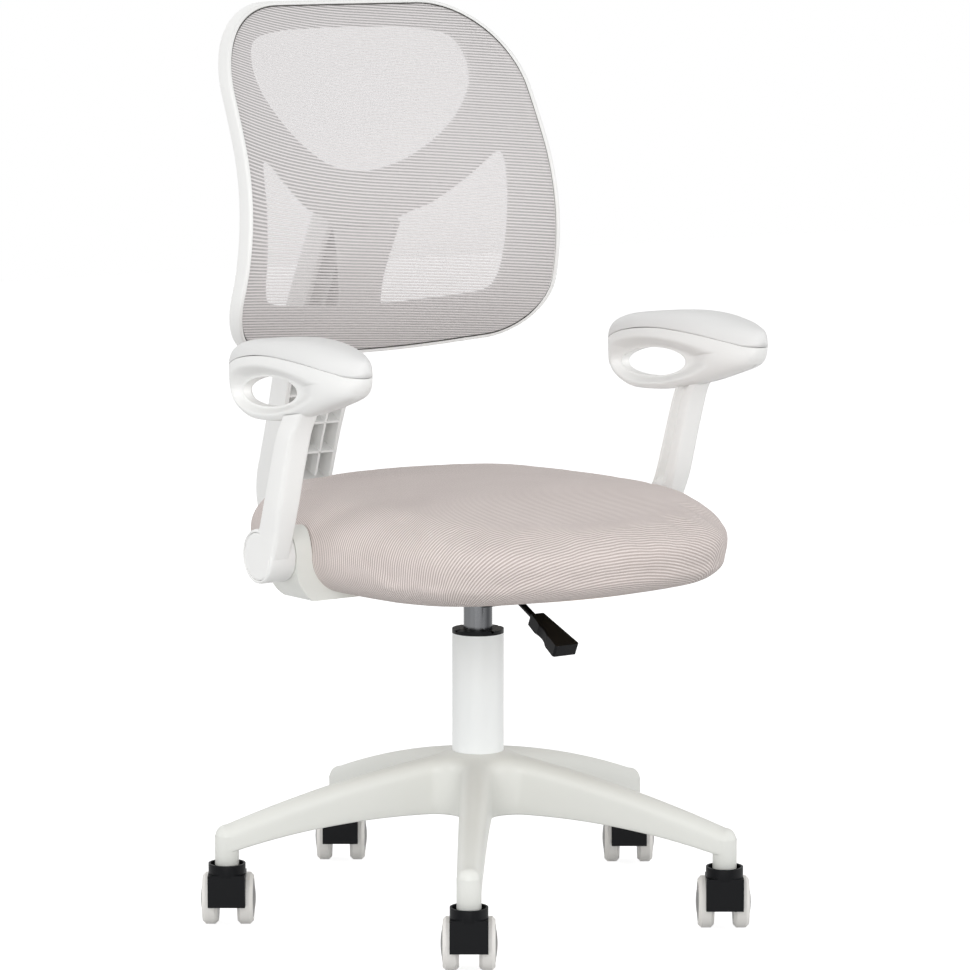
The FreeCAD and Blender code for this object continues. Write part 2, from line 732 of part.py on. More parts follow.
def mechanism():
    """Steel plate with a pan below it and the upright cone socket that sits on the gas cylinder."""
    top = box("plate_blank", ("2 * plate_half_width", "2 * plate_half_depth", "plate_thickness"),
              ("-plate_half_width", "-plate_half_depth", "-plate_thickness"))
    pan = box("pan_blank", ("2 * pan_half_width", "2 * pan_half_depth", "pan_depth"),
              ("-pan_half_width", "-pan_half_depth", "-plate_thickness - pan_depth"))
    room = box("pan_room", ("2 * (pan_half_width - pan_wall)", "2 * (pan_half_depth - pan_wall)", "pan_depth - pan_wall"),
               ("-pan_half_width + pan_wall", "-pan_half_depth + pan_wall", "-plate_thickness - pan_depth + pan_wall"))
    socket = cylinder("socket_blank", "socket_radius", "cylinder_top - socket_bottom", ("0", "0", "0"))
    cone = doc.addObject("Part::Cone", "socket_cone")
    bind(cone, {"Radius1": "cylinder_radius + running_gap", "Radius2": "cylinder_radius - cone_drop + running_gap",
                "Height": "cylinder_top - socket_bottom"})
    for item in (socket, cone):
        item.Placement = FreeCAD.Placement(ORIGIN, FreeCAD.Rotation(vec(1, 0, 0), 1))
        drop = "(board_level - socket_bottom)"
        bind(item, {"Placement.Rotation.Angle": "seat_tilt", "Placement.Base.y": drop + " * sin(seat_tilt)",
                    "Placement.Base.z": "-" + drop + " * cos(seat_tilt)"})
    slot = box("plate_slot", ("2 * slot_half_width", "slot_front + slot_back", "4 * plate_thickness"),
               ("-slot_half_width", "-slot_front", "-2 * plate_thickness"))
    window = box("pan_window", ("2 * window_half_width", "2 * pan_wall + window_depth", "pan_depth + pan_wall"),
                 ("-window_half_width", "-pan_half_depth - 2 * pan_wall", "-plate_thickness - pan_depth - pan_wall"))
    pivot = cylinder("lever_bore", "lever_pin_radius + running_gap", "4 * pan_half_width",
                     ("-2 * pan_half_width", LEVER_Y, LEVER_Z), "X")
    holes = [cylinder(f"plate_hole_{index}", "bolt_radius + running_gap", "4 * plate_thickness",
                      (f"{side} * plate_bolt_x", f"{end} * plate_bolt_y", "-2 * plate_thickness"))
             for index, (side, end) in enumerate(((-1, -1), (-1, 1), (1, -1), (1, 1)))]
    shell = joined("mechanism_blank", [cut("pan_shell", joined("pressing", [top, pan]), [room]), socket])
    add_node(on_seat(cut("mechanism", shell, [cone, slot, window, pivot] + holes)), "mechanism")


# The lever's pivot in the seat's frame
LEVER_Y = "-lever_pivot_front * cos(seat_tilt) - (lever_pivot_level - board_level) * sin(seat_tilt)"
LEVER_Z = "(lever_pivot_level - board_level) * cos(seat_tilt) - lever_pivot_front * sin(seat_tilt)"


def lever():
    """Bent rod on a cross pin, from over the valve pin out to a flat paddle in front."""
    radius = size("lever_radius")
    pivot = vec(0, -size("lever_pivot_front"), size("lever_pivot_level"))
    slope = math.radians(size("lever_slope"))
    down = vec(0, -math.cos(slope), -math.sin(slope))
    across = vec(0, -math.sin(slope), math.cos(slope))
    rest = vec(0, -size("pin_radius"), size("cylinder_top") + size("pin_proud") + size("seat_gap"))
    rise = math.atan2(rest.z + radius - pivot.z, rest.y - pivot.y)
    over_edge = rest + vec(0, 0, radius / math.cos(rise))
    inner = pivot + (over_edge - pivot) * (size("lever_pivot_front") / (rest.y - pivot.y))
    neck = pivot + down * size("lever_reach")
    rod = Part.makeSphere(radius, pivot).fuse(Part.makeSphere(radius, inner))
    rod = rod.fuse(Part.makeCylinder(radius, (inner - pivot).Length, pivot, inner - pivot))
    rod = rod.fuse(Part.makeCylinder(radius, size("lever_reach") + size("paddle_grip"), pivot, down))
    span = 2 * (size("pan_half_width") + size("pan_wall"))
    rod = rod.fuse(Part.makeCylinder(size("lever_pin_radius"), span, pivot - vec(span / 2, 0, 0), vec(1, 0, 0)))
    shaped("lever_rod", rod.removeSplitter())

    half = size("paddle_width") / 2
    throat = size("paddle_neck") / 2
    length = size("paddle_length")
    lift = across * (size("paddle_thickness") / 2)
    corners = [neck + vec(side * wide, 0, 0) + down * along - lift
               for side, wide, along in ((-1, throat, 0), (1, throat, 0), (1, half, length), (-1, half, length))]
    paddle = plate(corners, lift * 2)
    bite = neck + vec(-half - size("notch_radius") + size("notch_depth"), 0, 0) + down * (length * 0.45)
    paddle = paddle.cut(Part.makeCylinder(size("notch_radius"), 4 * lift.Length, bite - lift * 2, across))
    paddle = rounded_edges(paddle, size("paddle_round"), lambda edge: edge.Length < 3 * lift.Length and edge.Length > lift.Length)
    bore = Part.makeCylinder(radius, size("paddle_grip"), neck, down)
    shaped("lever_paddle", paddle.cut(bore))


# Arms


def mirrored(shape, side):
    """The shape itself on the right, its mirror image on the left."""
    return shape if side > 0 else shape.mirror(ORIGIN, vec(1, 0, 0))


def arm_bracket():
    """Right bracket in the seat's frame: an upright with a round head, curving in under the cushion to a wing."""
    outer = size("bracket_outer")
    thick = size("wing_thickness")
    nose = size("cushion_height") / 2
    turn_in = size("cushion_half_width") - size("cushion_nose") * 1.2
    head = size("pivot_up") + size("bracket_half")
    start = size("pivot_back") - size("bracket_half")
    wing = size("wing_reach")
    sweep = Part.Arc(vec(outer, start, nose * 0.5), vec(outer - nose * 0.22, start, -thick * 0.2),
                     vec(turn_in, start, -thick)).toShape()
    corners = [vec(turn_in, start, -thick), vec(wing, start, -thick), vec(wing, start, 0), vec(turn_in, start, 0),
               vec(turn_in, start, head), vec(outer, start, head), vec(outer, start, nose * 0.5)]
    edges = Part.makePolygon(corners).Edges + [sweep]
    blank = Part.Face(Part.Wire(edges)).extrude(vec(0, 2 * size("bracket_half"), 0))
    dome = Part.makeCylinder(size("bracket_half"), outer, vec(0, size("pivot_back"), size("pivot_up")), vec(1, 0, 0))
    below = Part.makeBox(outer, 2 * size("bracket_half"), size("pivot_up") + thick, vec(0, start, -thick))
    blank = blank.common(dome.fuse(below)).cut(cushion_blank(size("seat_gap")))
    blank = max(blank.Solids, key=lambda solid: solid.Volume)
    grip = Part.makeCylinder(size("pivot_pin_radius"), size("pin_grip"),
                             vec(outer - size("pin_grip"), size("pivot_back"), size("pivot_up")), vec(1, 0, 0))
    return blank.cut(grip)


def arm_brackets():
    blank = arm_bracket()
    for side, word in ((-1, "left"), (1, "right")):
        bracket = mirrored(blank, side).cut(bolt_tools(wing_spots(side), FreeCAD.Placement()))
        shaped(f"arm_bracket_{word}", bracket, seat_placement())


def pivot_pieces():
    """Headed pivot pin, fixed in the bracket, and the cap that covers its head, on each side."""
    face = "bracket_outer + seat_gap + barrel_length"
    ledge = face + " - cap_thickness"
    head = ledge + " - seat_gap - pin_head"
    for side, word in ((-1, "left"), (1, "right")):
        pin = turned(f"pivot_pin_{word}", [
            ("0", "bracket_outer - pin_grip"), ("pivot_pin_radius", "bracket_outer - pin_grip"),
            ("pivot_pin_radius", head), ("pin_head_radius", head), ("pin_head_radius", ledge + " - seat_gap"),
            ("0", ledge + " - seat_gap")])
        cap = turned(f"pivot_cap_{word}", [
            ("0", ledge), ("cap_radius", ledge), ("cap_radius", face + " - 1"), ("cap_radius - 1.5", face), ("0", face)])
        for item in (pin, cap):
            item.Placement = FreeCAD.Placement(ORIGIN, TURNS["X" if side > 0 else "-X"])
            put(item, ("0", PIVOT_Y, PIVOT_Z))
            add_node(item, item.Label)


def arm_section(share):
    """Round-cornered section of the armrest at a share of its half length, +1 at the rear."""
    fullness = (1 - abs(share) ** 2.6) ** (1 / 2.6)
    middle = size("arm_mid_level") - size("arm_mid_rise") * share
    top = middle + (size("arm_up") + size("arm_up_taper") * share) * fullness
    bottom = middle - (size("arm_down") + size("arm_down_taper") * share) * fullness
    half = size("arm_half_width") * fullness
    along = size("arm_half_length") * share - size("arm_forward")
    edges = []
    corners = []
    upper = size("arm_top_round") * half
    lower = size("arm_under_round") * half
    for radius, out, level, heading in ((upper, half, top, 0), (upper, -half, top, 90),
                                        (lower, -half, bottom, 180), (lower, half, bottom, 270)):
        centre_x = size("arm_side") + out - math.copysign(radius, out)
        centre_z = level - radius if heading < 180 else level + radius
        arc = [vec(centre_x + radius * math.cos(math.radians(heading + turn)), along,
                   centre_z + radius * math.sin(math.radians(heading + turn))) for turn in (0, 45, 90)]
        corners.append(arc)
    for index, arc in enumerate(corners):
        edges.append(Part.Arc(*arc).toShape())
        edges.append(Part.makeLine(arc[2], corners[(index + 1) % 4][0]))
    return Part.Wire(edges)


def armrest_blank():
    """Loop and pad together: a loft that is full in the middle and rounds off at both ends."""
    shares = [math.sin(math.radians(angle)) for angle in range(-80, 81, 20)]
    return Part.makeLoft([arm_section(share) for share in shares], True, False)


def above_seam(lift):
    """Everything above the wavy seam between the loop and the pad, raised by lift."""
    level = size("seam_level") + lift
    wave = size("seam_wave")
    half = size("arm_half_length")
    centre = -size("arm_forward")
    width = 4 * size("arm_half_width")
    points = [(1.3, level - 2 * size("seam_drop")), (0.9, level - size("seam_drop")), (0.5, level + wave * 0.8),
              (0, level + wave), (-0.5, level), (-1, level - wave / 2), (-1.3, level - wave / 2)]
    places = [vec(size("arm_side") - width / 2, centre + share * half, height) for share, height in points]
    seam = Part.BSplineCurve()
    seam.interpolate(places)
    high = 2 * size("arm_mid_level")
    first, last = places[0], places[-1]
    lid = Part.makePolygon([last, vec(last.x, last.y, high), vec(first.x, first.y, high), first])
    return Part.Face(Part.Wire([seam.toShape()] + lid.Edges)).extrude(vec(width, 0, 0))


def hold_outline(half_length, half_height, out):
    """Oval outline in the YZ plane round the hand hold."""
    centre = vec(out, size("hold_back"), size("hold_level"))
    oval = Part.Ellipse(centre + vec(0, half_length, 0), centre + vec(0, 0, half_height), centre)
    return Part.Wire([oval.toShape()])


def hand_hold():
    """The slot through the loop, with a dished surround on both sides."""
    length = size("hold_half_length")
    height = size("hold_half_height")
    long = length + size("dish_long")
    high = height + size("dish_high")
    middle = size("arm_side")
    rim = size("arm_half_width") + size("dish_long") / 2
    web = size("hold_web") / 2
    ovals = [hold_outline(long, high, middle - rim), hold_outline(length, height, middle - web),
             hold_outline(length, height, middle + web), hold_outline(long, high, middle + rim)]
    return Part.makeLoft(ovals, True, True)


def arm_post():
    """Right post: a barrel round the pivot pin and a leaning post with a recess on its inner side."""
    near = size("bracket_outer") + size("seat_gap")
    far = near + size("barrel_length")
    inner = far - size("post_thickness")
    barrel = Part.makeCylinder(size("barrel_radius"), size("barrel_length"), vec(near, 0, 0), vec(1, 0, 0))
    lean = math.radians(size("post_lean"))
    rise = vec(0, -math.sin(lean), math.cos(lean))
    across = vec(0, math.cos(lean), math.sin(lean))
    foot = vec(inner, -size("post_forward"), 0)

    def slab(out, half, low, high, thick):
        ends = ((-half, low), (half, low), (half, high), (-half, high))
        points = [vec(out, 0, 0) + vec(0, foot.y, foot.z) + across * wide + rise * along for wide, along in ends]
        return plate(points, vec(thick, 0, 0))

    half = size("post_width") / 2
    top = size("post_top")
    post = slab(inner, half, 0, 2 * top, size("post_thickness"))
    post = rounded_edges(post, size("post_round"), lambda edge: abs(edge.tangentAt(edge.FirstParameter).dot(rise)) > 0.99)
    recess = slab(inner, half - size("post_rim"), size("recess_bottom"), size("recess_top"), size("post_recess"))
    over = Part.makeBox(2 * far, 4 * top, 2 * top, vec(0, -3 * top, top))
    whole = barrel.fuse(post.cut(over)).cut(recess)
    axis = vec(1, 0, 0)
    bores = [
        Part.makeCylinder(size("pivot_pin_radius") + size("running_gap"), far, ORIGIN, axis),
        Part.makeCylinder(size("pin_head_radius") + size("seat_gap"), far,
                          vec(far - size("cap_thickness") - 2 * size("seat_gap") - size("pin_head"), 0, 0), axis),
        Part.makeCylinder(size("cap_radius"), far, vec(far - size("cap_thickness"), 0, 0), axis),
    ]
    return whole.cut(Part.makeCompound(bores[:1]).fuse(bores[1:]))


def arms():
    """Post, loop and pad on each side."""
    blank = armrest_blank()
    hold = hand_hold()
    pad_room = above_seam(size("seat_gap"))
    lid = above_seam(0)
    middle = vec(size("arm_side"), -size("arm_forward"), 0)
    for shape in (blank, hold, pad_room, lid):
        shape.rotate(middle, UP, size("arm_toe"))
    pad = blank.common(pad_room)
    post = arm_post().cut(hold)
    loop = blank.cut(lid).cut(hold).cut(post)
    for side, word in ((-1, "left"), (1, "right")):
        shaped(f"arm_post_{word}", mirrored(post, side), arm_placement())
        shaped(f"arm_loop_{word}", mirrored(loop, side), arm_placement())
        shaped(f"arm_pad_{word}", mirrored(pad, side), arm_placement())


# Back


def back_layer(front, rear):
    """A saddle-shaped layer between two depths behind the sitting face, wider than the back."""
    axis = vec(0, size("lumbar_back") - size("back_wrap"), 0)
    hub = vec(0, size("lumbar_back") + size("lumbar_radius"), size("lumbar_level"))
    turn = math.radians(size("shoulder_turn"))
    outward = vec(0, -math.cos(turn), math.sin(turn))
    upper_hub = hub + outward * (size("lumbar_radius") - size("shoulder_radius"))
    low = math.radians(-55)
    high = turn + math.radians(18)

    def point(centre, radius, angle):
        return centre + vec(0, -math.cos(angle), math.sin(angle)) * radius

    def line(depth):
        lower = size("lumbar_radius") - depth
        upper = size("shoulder_radius") - depth
        first = [point(hub, lower, angle) for angle in (low, (low + turn) / 2, turn)]
        second = [point(upper_hub, upper, angle) for angle in (turn, (turn + high) / 2, high)]
        return first, second

    face_low, face_high = line(front)
    rear_low, rear_high = line(rear)
    wire = Part.Wire([
        Part.Arc(*face_low).toShape(),
        Part.Arc(*face_high).toShape(),
        Part.makeLine(face_high[2], rear_high[2]),
        Part.Arc(*reversed(rear_high)).toShape(),
        Part.Arc(*reversed(rear_low)).toShape(),
        Part.makeLine(rear_low[0], face_low[0]),
    ])
    half_angle = math.degrees(math.asin(1.2 * size("back_half_bottom") / size("back_wrap")))
    face = Part.Face(wire)
    face.rotate(axis, UP, -half_angle)
    return face.revolve(axis, UP, 2 * half_angle)


def along_back(points):
    """A prism from front to back through (x, z) points, far longer than the back is deep."""
    depth = size("lumbar_back") + size("lumbar_radius")
    return plate([vec(x, -depth, z) for x, z in points], vec(0, 4 * depth, 0))


def round_prism(points, radii):
    """That prism with a fillet at each of its corners."""
    prism = along_back(points)
    for (x, z), radius in zip(points, radii):
        prism = rounded_edges(prism, radius, lambda edge: abs(edge.CenterOfMass.x - x) < 0.01
                              and abs(edge.CenterOfMass.z - z) < 0.01)
    return prism


def back_prism(inset):
    """The back's outline, seen from the front, drawn in by an inset."""
    low = size("back_bottom") + inset
    high = size("back_top") - inset
    wide = size("back_half_bottom") - inset
    narrow = size("back_half_top") - inset
    corner = low + size("back_bottom_rise")
    points = [(0, low), (wide, corner), (narrow, high), (-narrow, high), (-wide, corner)]
    top_round = size("back_round_top") - inset
    bottom_round = size("back_round_bottom") - inset
    radii = [size("back_bottom_sweep") - inset, bottom_round, top_round, top_round, bottom_round]
    return round_prism(points, radii)


def brace_openings():
    """The three openings that leave a Y-shaped brace: a fan above, and one on each side of the stem."""
    corner = size("opening_round")
    fan = [(0, size("fan_tip_level")), (size("fan_half_width"), size("fan_top_level")),
           (-size("fan_half_width"), size("fan_top_level"))]
    openings = [round_prism(fan, [corner, 2 * corner, 2 * corner])]
    for side in (-1, 1):
        window = [(side * size("stem_half_width"), size("side_bottom_level")),
                  (side * size("side_half_width"), size("side_bottom_level")),
                  (side * size("side_half_width"), size("side_outer_level")),
                  (side * size("stem_half_width"), size("side_inner_level"))]
        openings.append(round_prism(window, [corner, 2 * corner, corner, size("opening_sweep")]))
    return openings


def back_bolt_places():
    """Bolts that go backwards through the brace into the spine's head."""
    middle = size("rim_depth") - size("brace_thickness")
    level = size("back_bolt_level")
    shell = back_layer(0, middle)
    probe = Part.makeLine(vec(0, -size("lumbar_radius"), level), vec(0, 4 * size("lumbar_radius"), level))
    face_y = max(vertex.Y for vertex in shell.common(probe).Vertexes)
    turn = FreeCAD.Rotation(vec(1, 0, 0), -90)
    return [FreeCAD.Placement(vec(side * size("back_bolt_x"), face_y, level), turn) for side in (-1, 1)]


def back_bolt_room():
    """Room for those bolts and for their heads."""
    tools = []
    for place in back_bolt_places():
        shank = Part.makeCylinder(size("bolt_radius") + size("running_gap"), size("bolt_length") + size("bolt_clamp"))
        head = Part.makeCylinder(size("bolt_head_radius") + size("running_gap"), size("rim_depth"),
                                 vec(0, 0, -size("rim_depth") + size("bolt_clamp")))
        tool = shank.fuse(head)
        tool.Placement = place
        tools.append(tool)
    return Part.makeCompound(tools)


def back_frame():
    """Moulded frame: a deep lip all round, and a plate at the rear cut to a Y brace."""
    outline = back_prism(0)
    lip = back_layer(0, size("rim_depth")).common(outline).cut(back_prism(size("rim_lip")))
    brace = back_layer(size("rim_depth") - size("brace_thickness"), size("rim_depth")).common(outline)
    for opening in brace_openings():
        brace = brace.cut(opening)
    shaped("back_frame", lip.fuse(brace).removeSplitter().cut(back_bolt_room()))


def back_mesh():
    """Thin net, stretched just inside the lip of the frame."""
    start = size("mesh_inset")
    layer = back_layer(start, start + size("mesh_thickness"))
    shaped("back_mesh", layer.common(back_prism(size("rim_lip") + size("running_gap"))))


def spine_cells():
    """Open cells in the front of the spine, between its long ribs and its cross ribs, in the seat's frame."""
    lean = math.radians(size("spine_lean"))
    rise = vec(0, -math.sin(lean), math.cos(lean))
    inward = vec(0, math.cos(lean), math.sin(lean))
    start = spine_bend_end()
    columns = int(size("spine_cell_columns"))
    clear = 2 * (size("spine_half_width") - size("spine_wall"))
    width = (clear - (columns - 1) * size("spine_rib")) / columns
    height = size("spine_rib_pitch") - size("spine_rib")
    cells = []
    for row in range(int(size("spine_cell_rows"))):
        foot = start + rise * (row * size("spine_rib_pitch") + size("spine_rib"))
        for column in range(columns):
            left = -clear / 2 + column * (width + size("spine_rib"))
            corners = [foot + vec(left + across, 0, 0) + rise * along
                       for across, along in ((0, 0), (width, 0), (width, height), (0, height))]
            cells.append(plate(corners, inward * size("spine_cell_depth")))
    return Part.makeCompound(cells)


def spine_bend_end():
    """Where the spine's inner bend runs into its straight upper stretch, in the seat's frame."""
    lean = math.radians(size("spine_lean"))
    centre = vec(0, size("spine_bend_back"), size("spine_bend_radius"))
    return centre + vec(0, math.cos(lean), math.sin(lean)) * size("spine_bend_radius")


def spine_blank():
    """J-shaped spine in the seat's frame: a tongue under the board, a bend, and a stretch that leans forward."""
    lean = math.radians(size("spine_lean"))
    bend = size("spine_bend_radius")
    outer = bend + size("spine_thickness")
    centre = vec(0, size("spine_bend_back"), bend)
    rise = vec(0, -math.sin(lean), math.cos(lean))

    def spot(radius, angle):
        return centre + vec(0, math.cos(angle), math.sin(angle)) * radius

    start = math.radians(-90)
    half = (start + lean) / 2
    front = size("tongue_front")
    inner = [spot(bend, angle) for angle in (start, half, lean)]
    rear = [spot(outer, angle) for angle in (lean, half, start)]
    head = rise * size("spine_rise")
    edges = [
        Part.makeLine(vec(0, front, 0), inner[0]),
        Part.Arc(*inner).toShape(),
        Part.makeLine(inner[2], inner[2] + head),
        Part.makeLine(inner[2] + head, rear[0] + head),
        Part.makeLine(rear[0] + head, rear[0]),
        Part.Arc(*rear).toShape(),
        Part.makeLine(rear[2], vec(0, front, -size("tongue_thickness"))),
        Part.makeLine(vec(0, front, -size("tongue_thickness")), vec(0, front, 0)),
    ]
    profile = Part.Face(Part.Wire(edges))
    profile.translate(vec(-size("spine_half_width"), 0, 0))
    return profile.extrude(vec(2 * size("spine_half_width"), 0, 0))


def back_spine():
    """The spine, ribbed in front, narrowed towards its head, which meets the rear of the brace."""
    spine = spine_blank().cut(spine_cells()).cut(bolt_tools(tongue_spots(), FreeCAD.Placement()))
    spine.transformShape(seat_placement().toMatrix())
    wide = size("spine_half_width")
    narrow = size("spine_top_half")
    levels = (0, size("spine_taper_start"), size("spine_taper_end"), 2 * size("back_top"))
    right = list(zip((wide, wide, narrow, narrow), levels))
    left = [(-x, z) for x, z in reversed(right)]
    spine = spine.common(along_back(right + left))
    before = back_layer(-size("lumbar_radius"), size("rim_depth"))
    spine = spine.cut(before).cut(back_bolt_room())
    shaped("back_spine", max(spine.Solids, key=lambda solid: solid.Volume))


def frame_bolts():
    """All bolts of the seat and back, identical."""
    spots = plate_spots() + wing_spots(-1) + wing_spots(1) + tongue_spots()
    seat = seat_placement()
    places = [seat.multiply(FreeCAD.Placement(vec(x, y, -size("bolt_clamp")), FreeCAD.Rotation())) for x, y in spots]
    sunk = FreeCAD.Placement(vec(0, 0, size("bolt_clamp")), FreeCAD.Rotation())
    places += [place.multiply(sunk) for place in back_bolt_places()]
    shank = Part.makeCylinder(size("bolt_radius"), size("bolt_length"))
    head = Part.makeCylinder(size("bolt_head_radius"), size("bolt_head"), vec(0, 0, -size("bolt_head")))
    bolt = shank.fuse(head).removeSplitter()
    copies = []
    for place in places:
        copy = bolt.copy()
        copy.Placement = place
        copies.append(copy)
    shaped("frame_bolts", Part.makeCompound(copies))


def build():
    """Make every sub-part, check it and write it to its file."""
    star_base()
    caster_stems()
    gas_lift()
    release_pin()
    for index in range(LEG_COUNT):
        caster_housing(index)
        caster_wheels(index)
    mechanism()
    lever()
    seat_board()
    seat_cushion()
    arm_brackets()
    pivot_pieces()
    arms()
    back_frame()
    back_mesh()
    back_spine()
    frame_bolts()
    doc.recompute()
    for item in doc.Objects:
        if "Invalid" in item.State or "Error" in item.State:
            raise RuntimeError(f"{item.Label} failed: {item.State}")
    for node in nodes:
        if node.Shape.isNull() or not node.Shape.isValid():
            raise RuntimeError(f"{node.Label} has no valid shape")
    os.makedirs("parts", exist_ok=True)
    for node in nodes:
        node.Shape.exportStep(f"parts/{node.Label}.step")
        print(node.Label, len(node.Shape.Solids), round(node.Shape.Volume))


build()
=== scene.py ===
"""A child's desk chair on casters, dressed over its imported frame.

It has a ribbed seat, a stretched net back and flip-up arms.

Lengths in the classes are millimetres in the frame's own axes: +Z up, the sitter faces -Y, the origin on the
floor under the column. They become metres where a mesh is made.
"""
import json
import logging
import math
from dataclasses import dataclass
from enum import Enum

import bmesh
import bpy
import numpy as np
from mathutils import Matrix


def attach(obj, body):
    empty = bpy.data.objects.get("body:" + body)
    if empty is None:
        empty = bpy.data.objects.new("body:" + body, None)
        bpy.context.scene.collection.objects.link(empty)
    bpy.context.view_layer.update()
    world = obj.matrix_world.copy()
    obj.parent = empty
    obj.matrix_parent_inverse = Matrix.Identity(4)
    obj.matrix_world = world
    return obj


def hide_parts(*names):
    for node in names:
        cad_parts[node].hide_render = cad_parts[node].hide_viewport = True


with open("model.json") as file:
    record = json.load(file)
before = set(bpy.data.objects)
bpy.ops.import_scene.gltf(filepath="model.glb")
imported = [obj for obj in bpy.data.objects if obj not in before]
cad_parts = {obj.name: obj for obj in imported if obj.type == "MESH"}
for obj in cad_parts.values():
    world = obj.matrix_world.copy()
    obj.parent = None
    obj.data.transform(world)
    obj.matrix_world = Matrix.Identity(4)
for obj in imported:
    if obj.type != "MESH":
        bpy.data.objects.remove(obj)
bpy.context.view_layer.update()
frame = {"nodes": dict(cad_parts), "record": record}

MM = 0.001
# Where the lamps point, in metres: a little over the seat, on the chair's axis.
LAMP_AIM = (0.0, 0.0, 0.45)
# Distances from the axis, in millimetres, at which a leg's ridge and lower edge have their levels given.
ARCH_SPOTS = (0.0, 142.0, 249.3)
PHOTO_PIXELS = 970
Array = np.ndarray
log = logging.getLogger("desk_chair")


# Colours and nodes


def linear(hex_colour: str) -> tuple[float, float, float, float]:
    """Turn an sRGB hex colour into linear light.

    Args:
        hex_colour: six hex digits, such as "F0F0EE".

    Returns:
        Linear red, green and blue, and an alpha of 1.
    """
    parts = np.array([int(hex_colour[at:at + 2], 16) for at in (0, 2, 4)]) / 255
    light = np.where(parts <= 0.04045, parts / 12.92, ((parts + 0.055) / 1.055) ** 2.4)
    return (float(light[0]), float(light[1]), float(light[2]), 1.0)


def add_node(tree: bpy.types.NodeTree, kind: str, inputs: dict | None = None,
             **settings: object) -> bpy.types.Node:
    """Add one node with its settings and its links.

    Args:
        tree: the node tree that gets the node.
        kind: Blender's name of the node type.
        inputs: socket name or place, to a value or to another node's output.
        settings: properties of the node itself.

    Returns:
        The new node.
    """
    node = tree.nodes.new(kind)
    for key, value in settings.items():
        setattr(node, key, value)
    for key, value in (inputs or {}).items():
        if isinstance(value, bpy.types.NodeSocket):
            tree.links.new(value, node.inputs[key])
        else:
            node.inputs[key].default_value = value
    return node


# Finishes


@dataclass(frozen=True)
class Finish:
    """A moulded, painted or metal surface: one colour that wanders a little, and a fine grain.

    The grain is a noise whose scale is 1 over its size, so a grain of 0.6 mm has a scale of 1667 per metre.
    """

    name: str
    colour: str
    shade: str
    roughness: float
    ior: float = 1.5
    metallic: float = 0.0
    coat: float = 0.0
    sheen: float = 0.0
    grain: float = 1.2
    grain_depth: float = 0.03
    patch: float = 90.0

    def make(self) -> bpy.types.Material:
        """Build the material from its fields.

        Returns:
            The material.
        """
        material = bpy.data.materials.new(self.name)
        material.use_nodes = True
        tree = material.node_tree
        shader = tree.nodes["Principled BSDF"]
        shader.inputs["Metallic"].default_value = self.metallic
        if not self.metallic:
            shader.inputs["IOR"].default_value = self.ior
        shader.inputs["Coat Weight"].default_value = self.coat
        shader.inputs["Coat Roughness"].default_value = 0.15
        shader.inputs["Sheen Weight"].default_value = self.sheen
        self.wire(tree, shader)
        return material

    def wire(self, tree: bpy.types.NodeTree, shader: bpy.types.Node) -> None:
        """Colour that drifts between two close tones, roughness that follows it, and a grain bump.

        Args:
            tree: the material's nodes.
            shader: its surface shader.
        """
        place = add_node(tree, "ShaderNodeTexCoord").outputs["Object"]
        drift = add_node(tree, "ShaderNodeTexNoise", {
            "Vector": place, "Scale": 1 / (self.patch * MM), "Detail": 3.0})
        tone = add_node(tree, "ShaderNodeMix", {"Factor": drift.outputs["Fac"]}, data_type="RGBA")
        tone.inputs[6].default_value = linear(self.colour)
        tone.inputs[7].default_value = linear(self.shade)
        grain = add_node(tree, "ShaderNodeTexNoise", {
            "Vector": place, "Scale": 1 / (self.grain * MM), "Detail": 2.0})
        rough = add_node(tree, "ShaderNodeMapRange", {
            "Value": grain.outputs["Fac"], "To Min": self.roughness - 0.05, "To Max": self.roughness + 0.05})
        bump = add_node(tree, "ShaderNodeBump", {
            "Height": grain.outputs["Fac"], "Strength": 0.35, "Distance": self.grain_depth * MM})
        tree.links.new(tone.outputs[2], shader.inputs["Base Color"])
        tree.links.new(rough.outputs["Result"], shader.inputs["Roughness"])
        tree.links.new(bump.outputs["Normal"], shader.inputs["Normal"])


class Slot(Enum):
    """The record's material slots."""

    WHITE_PLASTIC = "white_plastic"
    WHITE_PAINT = "white_paint"
    SOFT_PAD = "soft_pad"
    BLACK_PLASTIC = "black_plastic"
    GREY_PLASTIC = "grey_plastic"
    PALE_TYRE = "pale_tyre"
    CHROME = "chrome"
    STEEL = "steel"
    BLACK_PAINT = "black_paint"
    PLYWOOD = "plywood"
    SEAT_CLOTH = "seat_cloth"
    BACK_NET = "back_net"


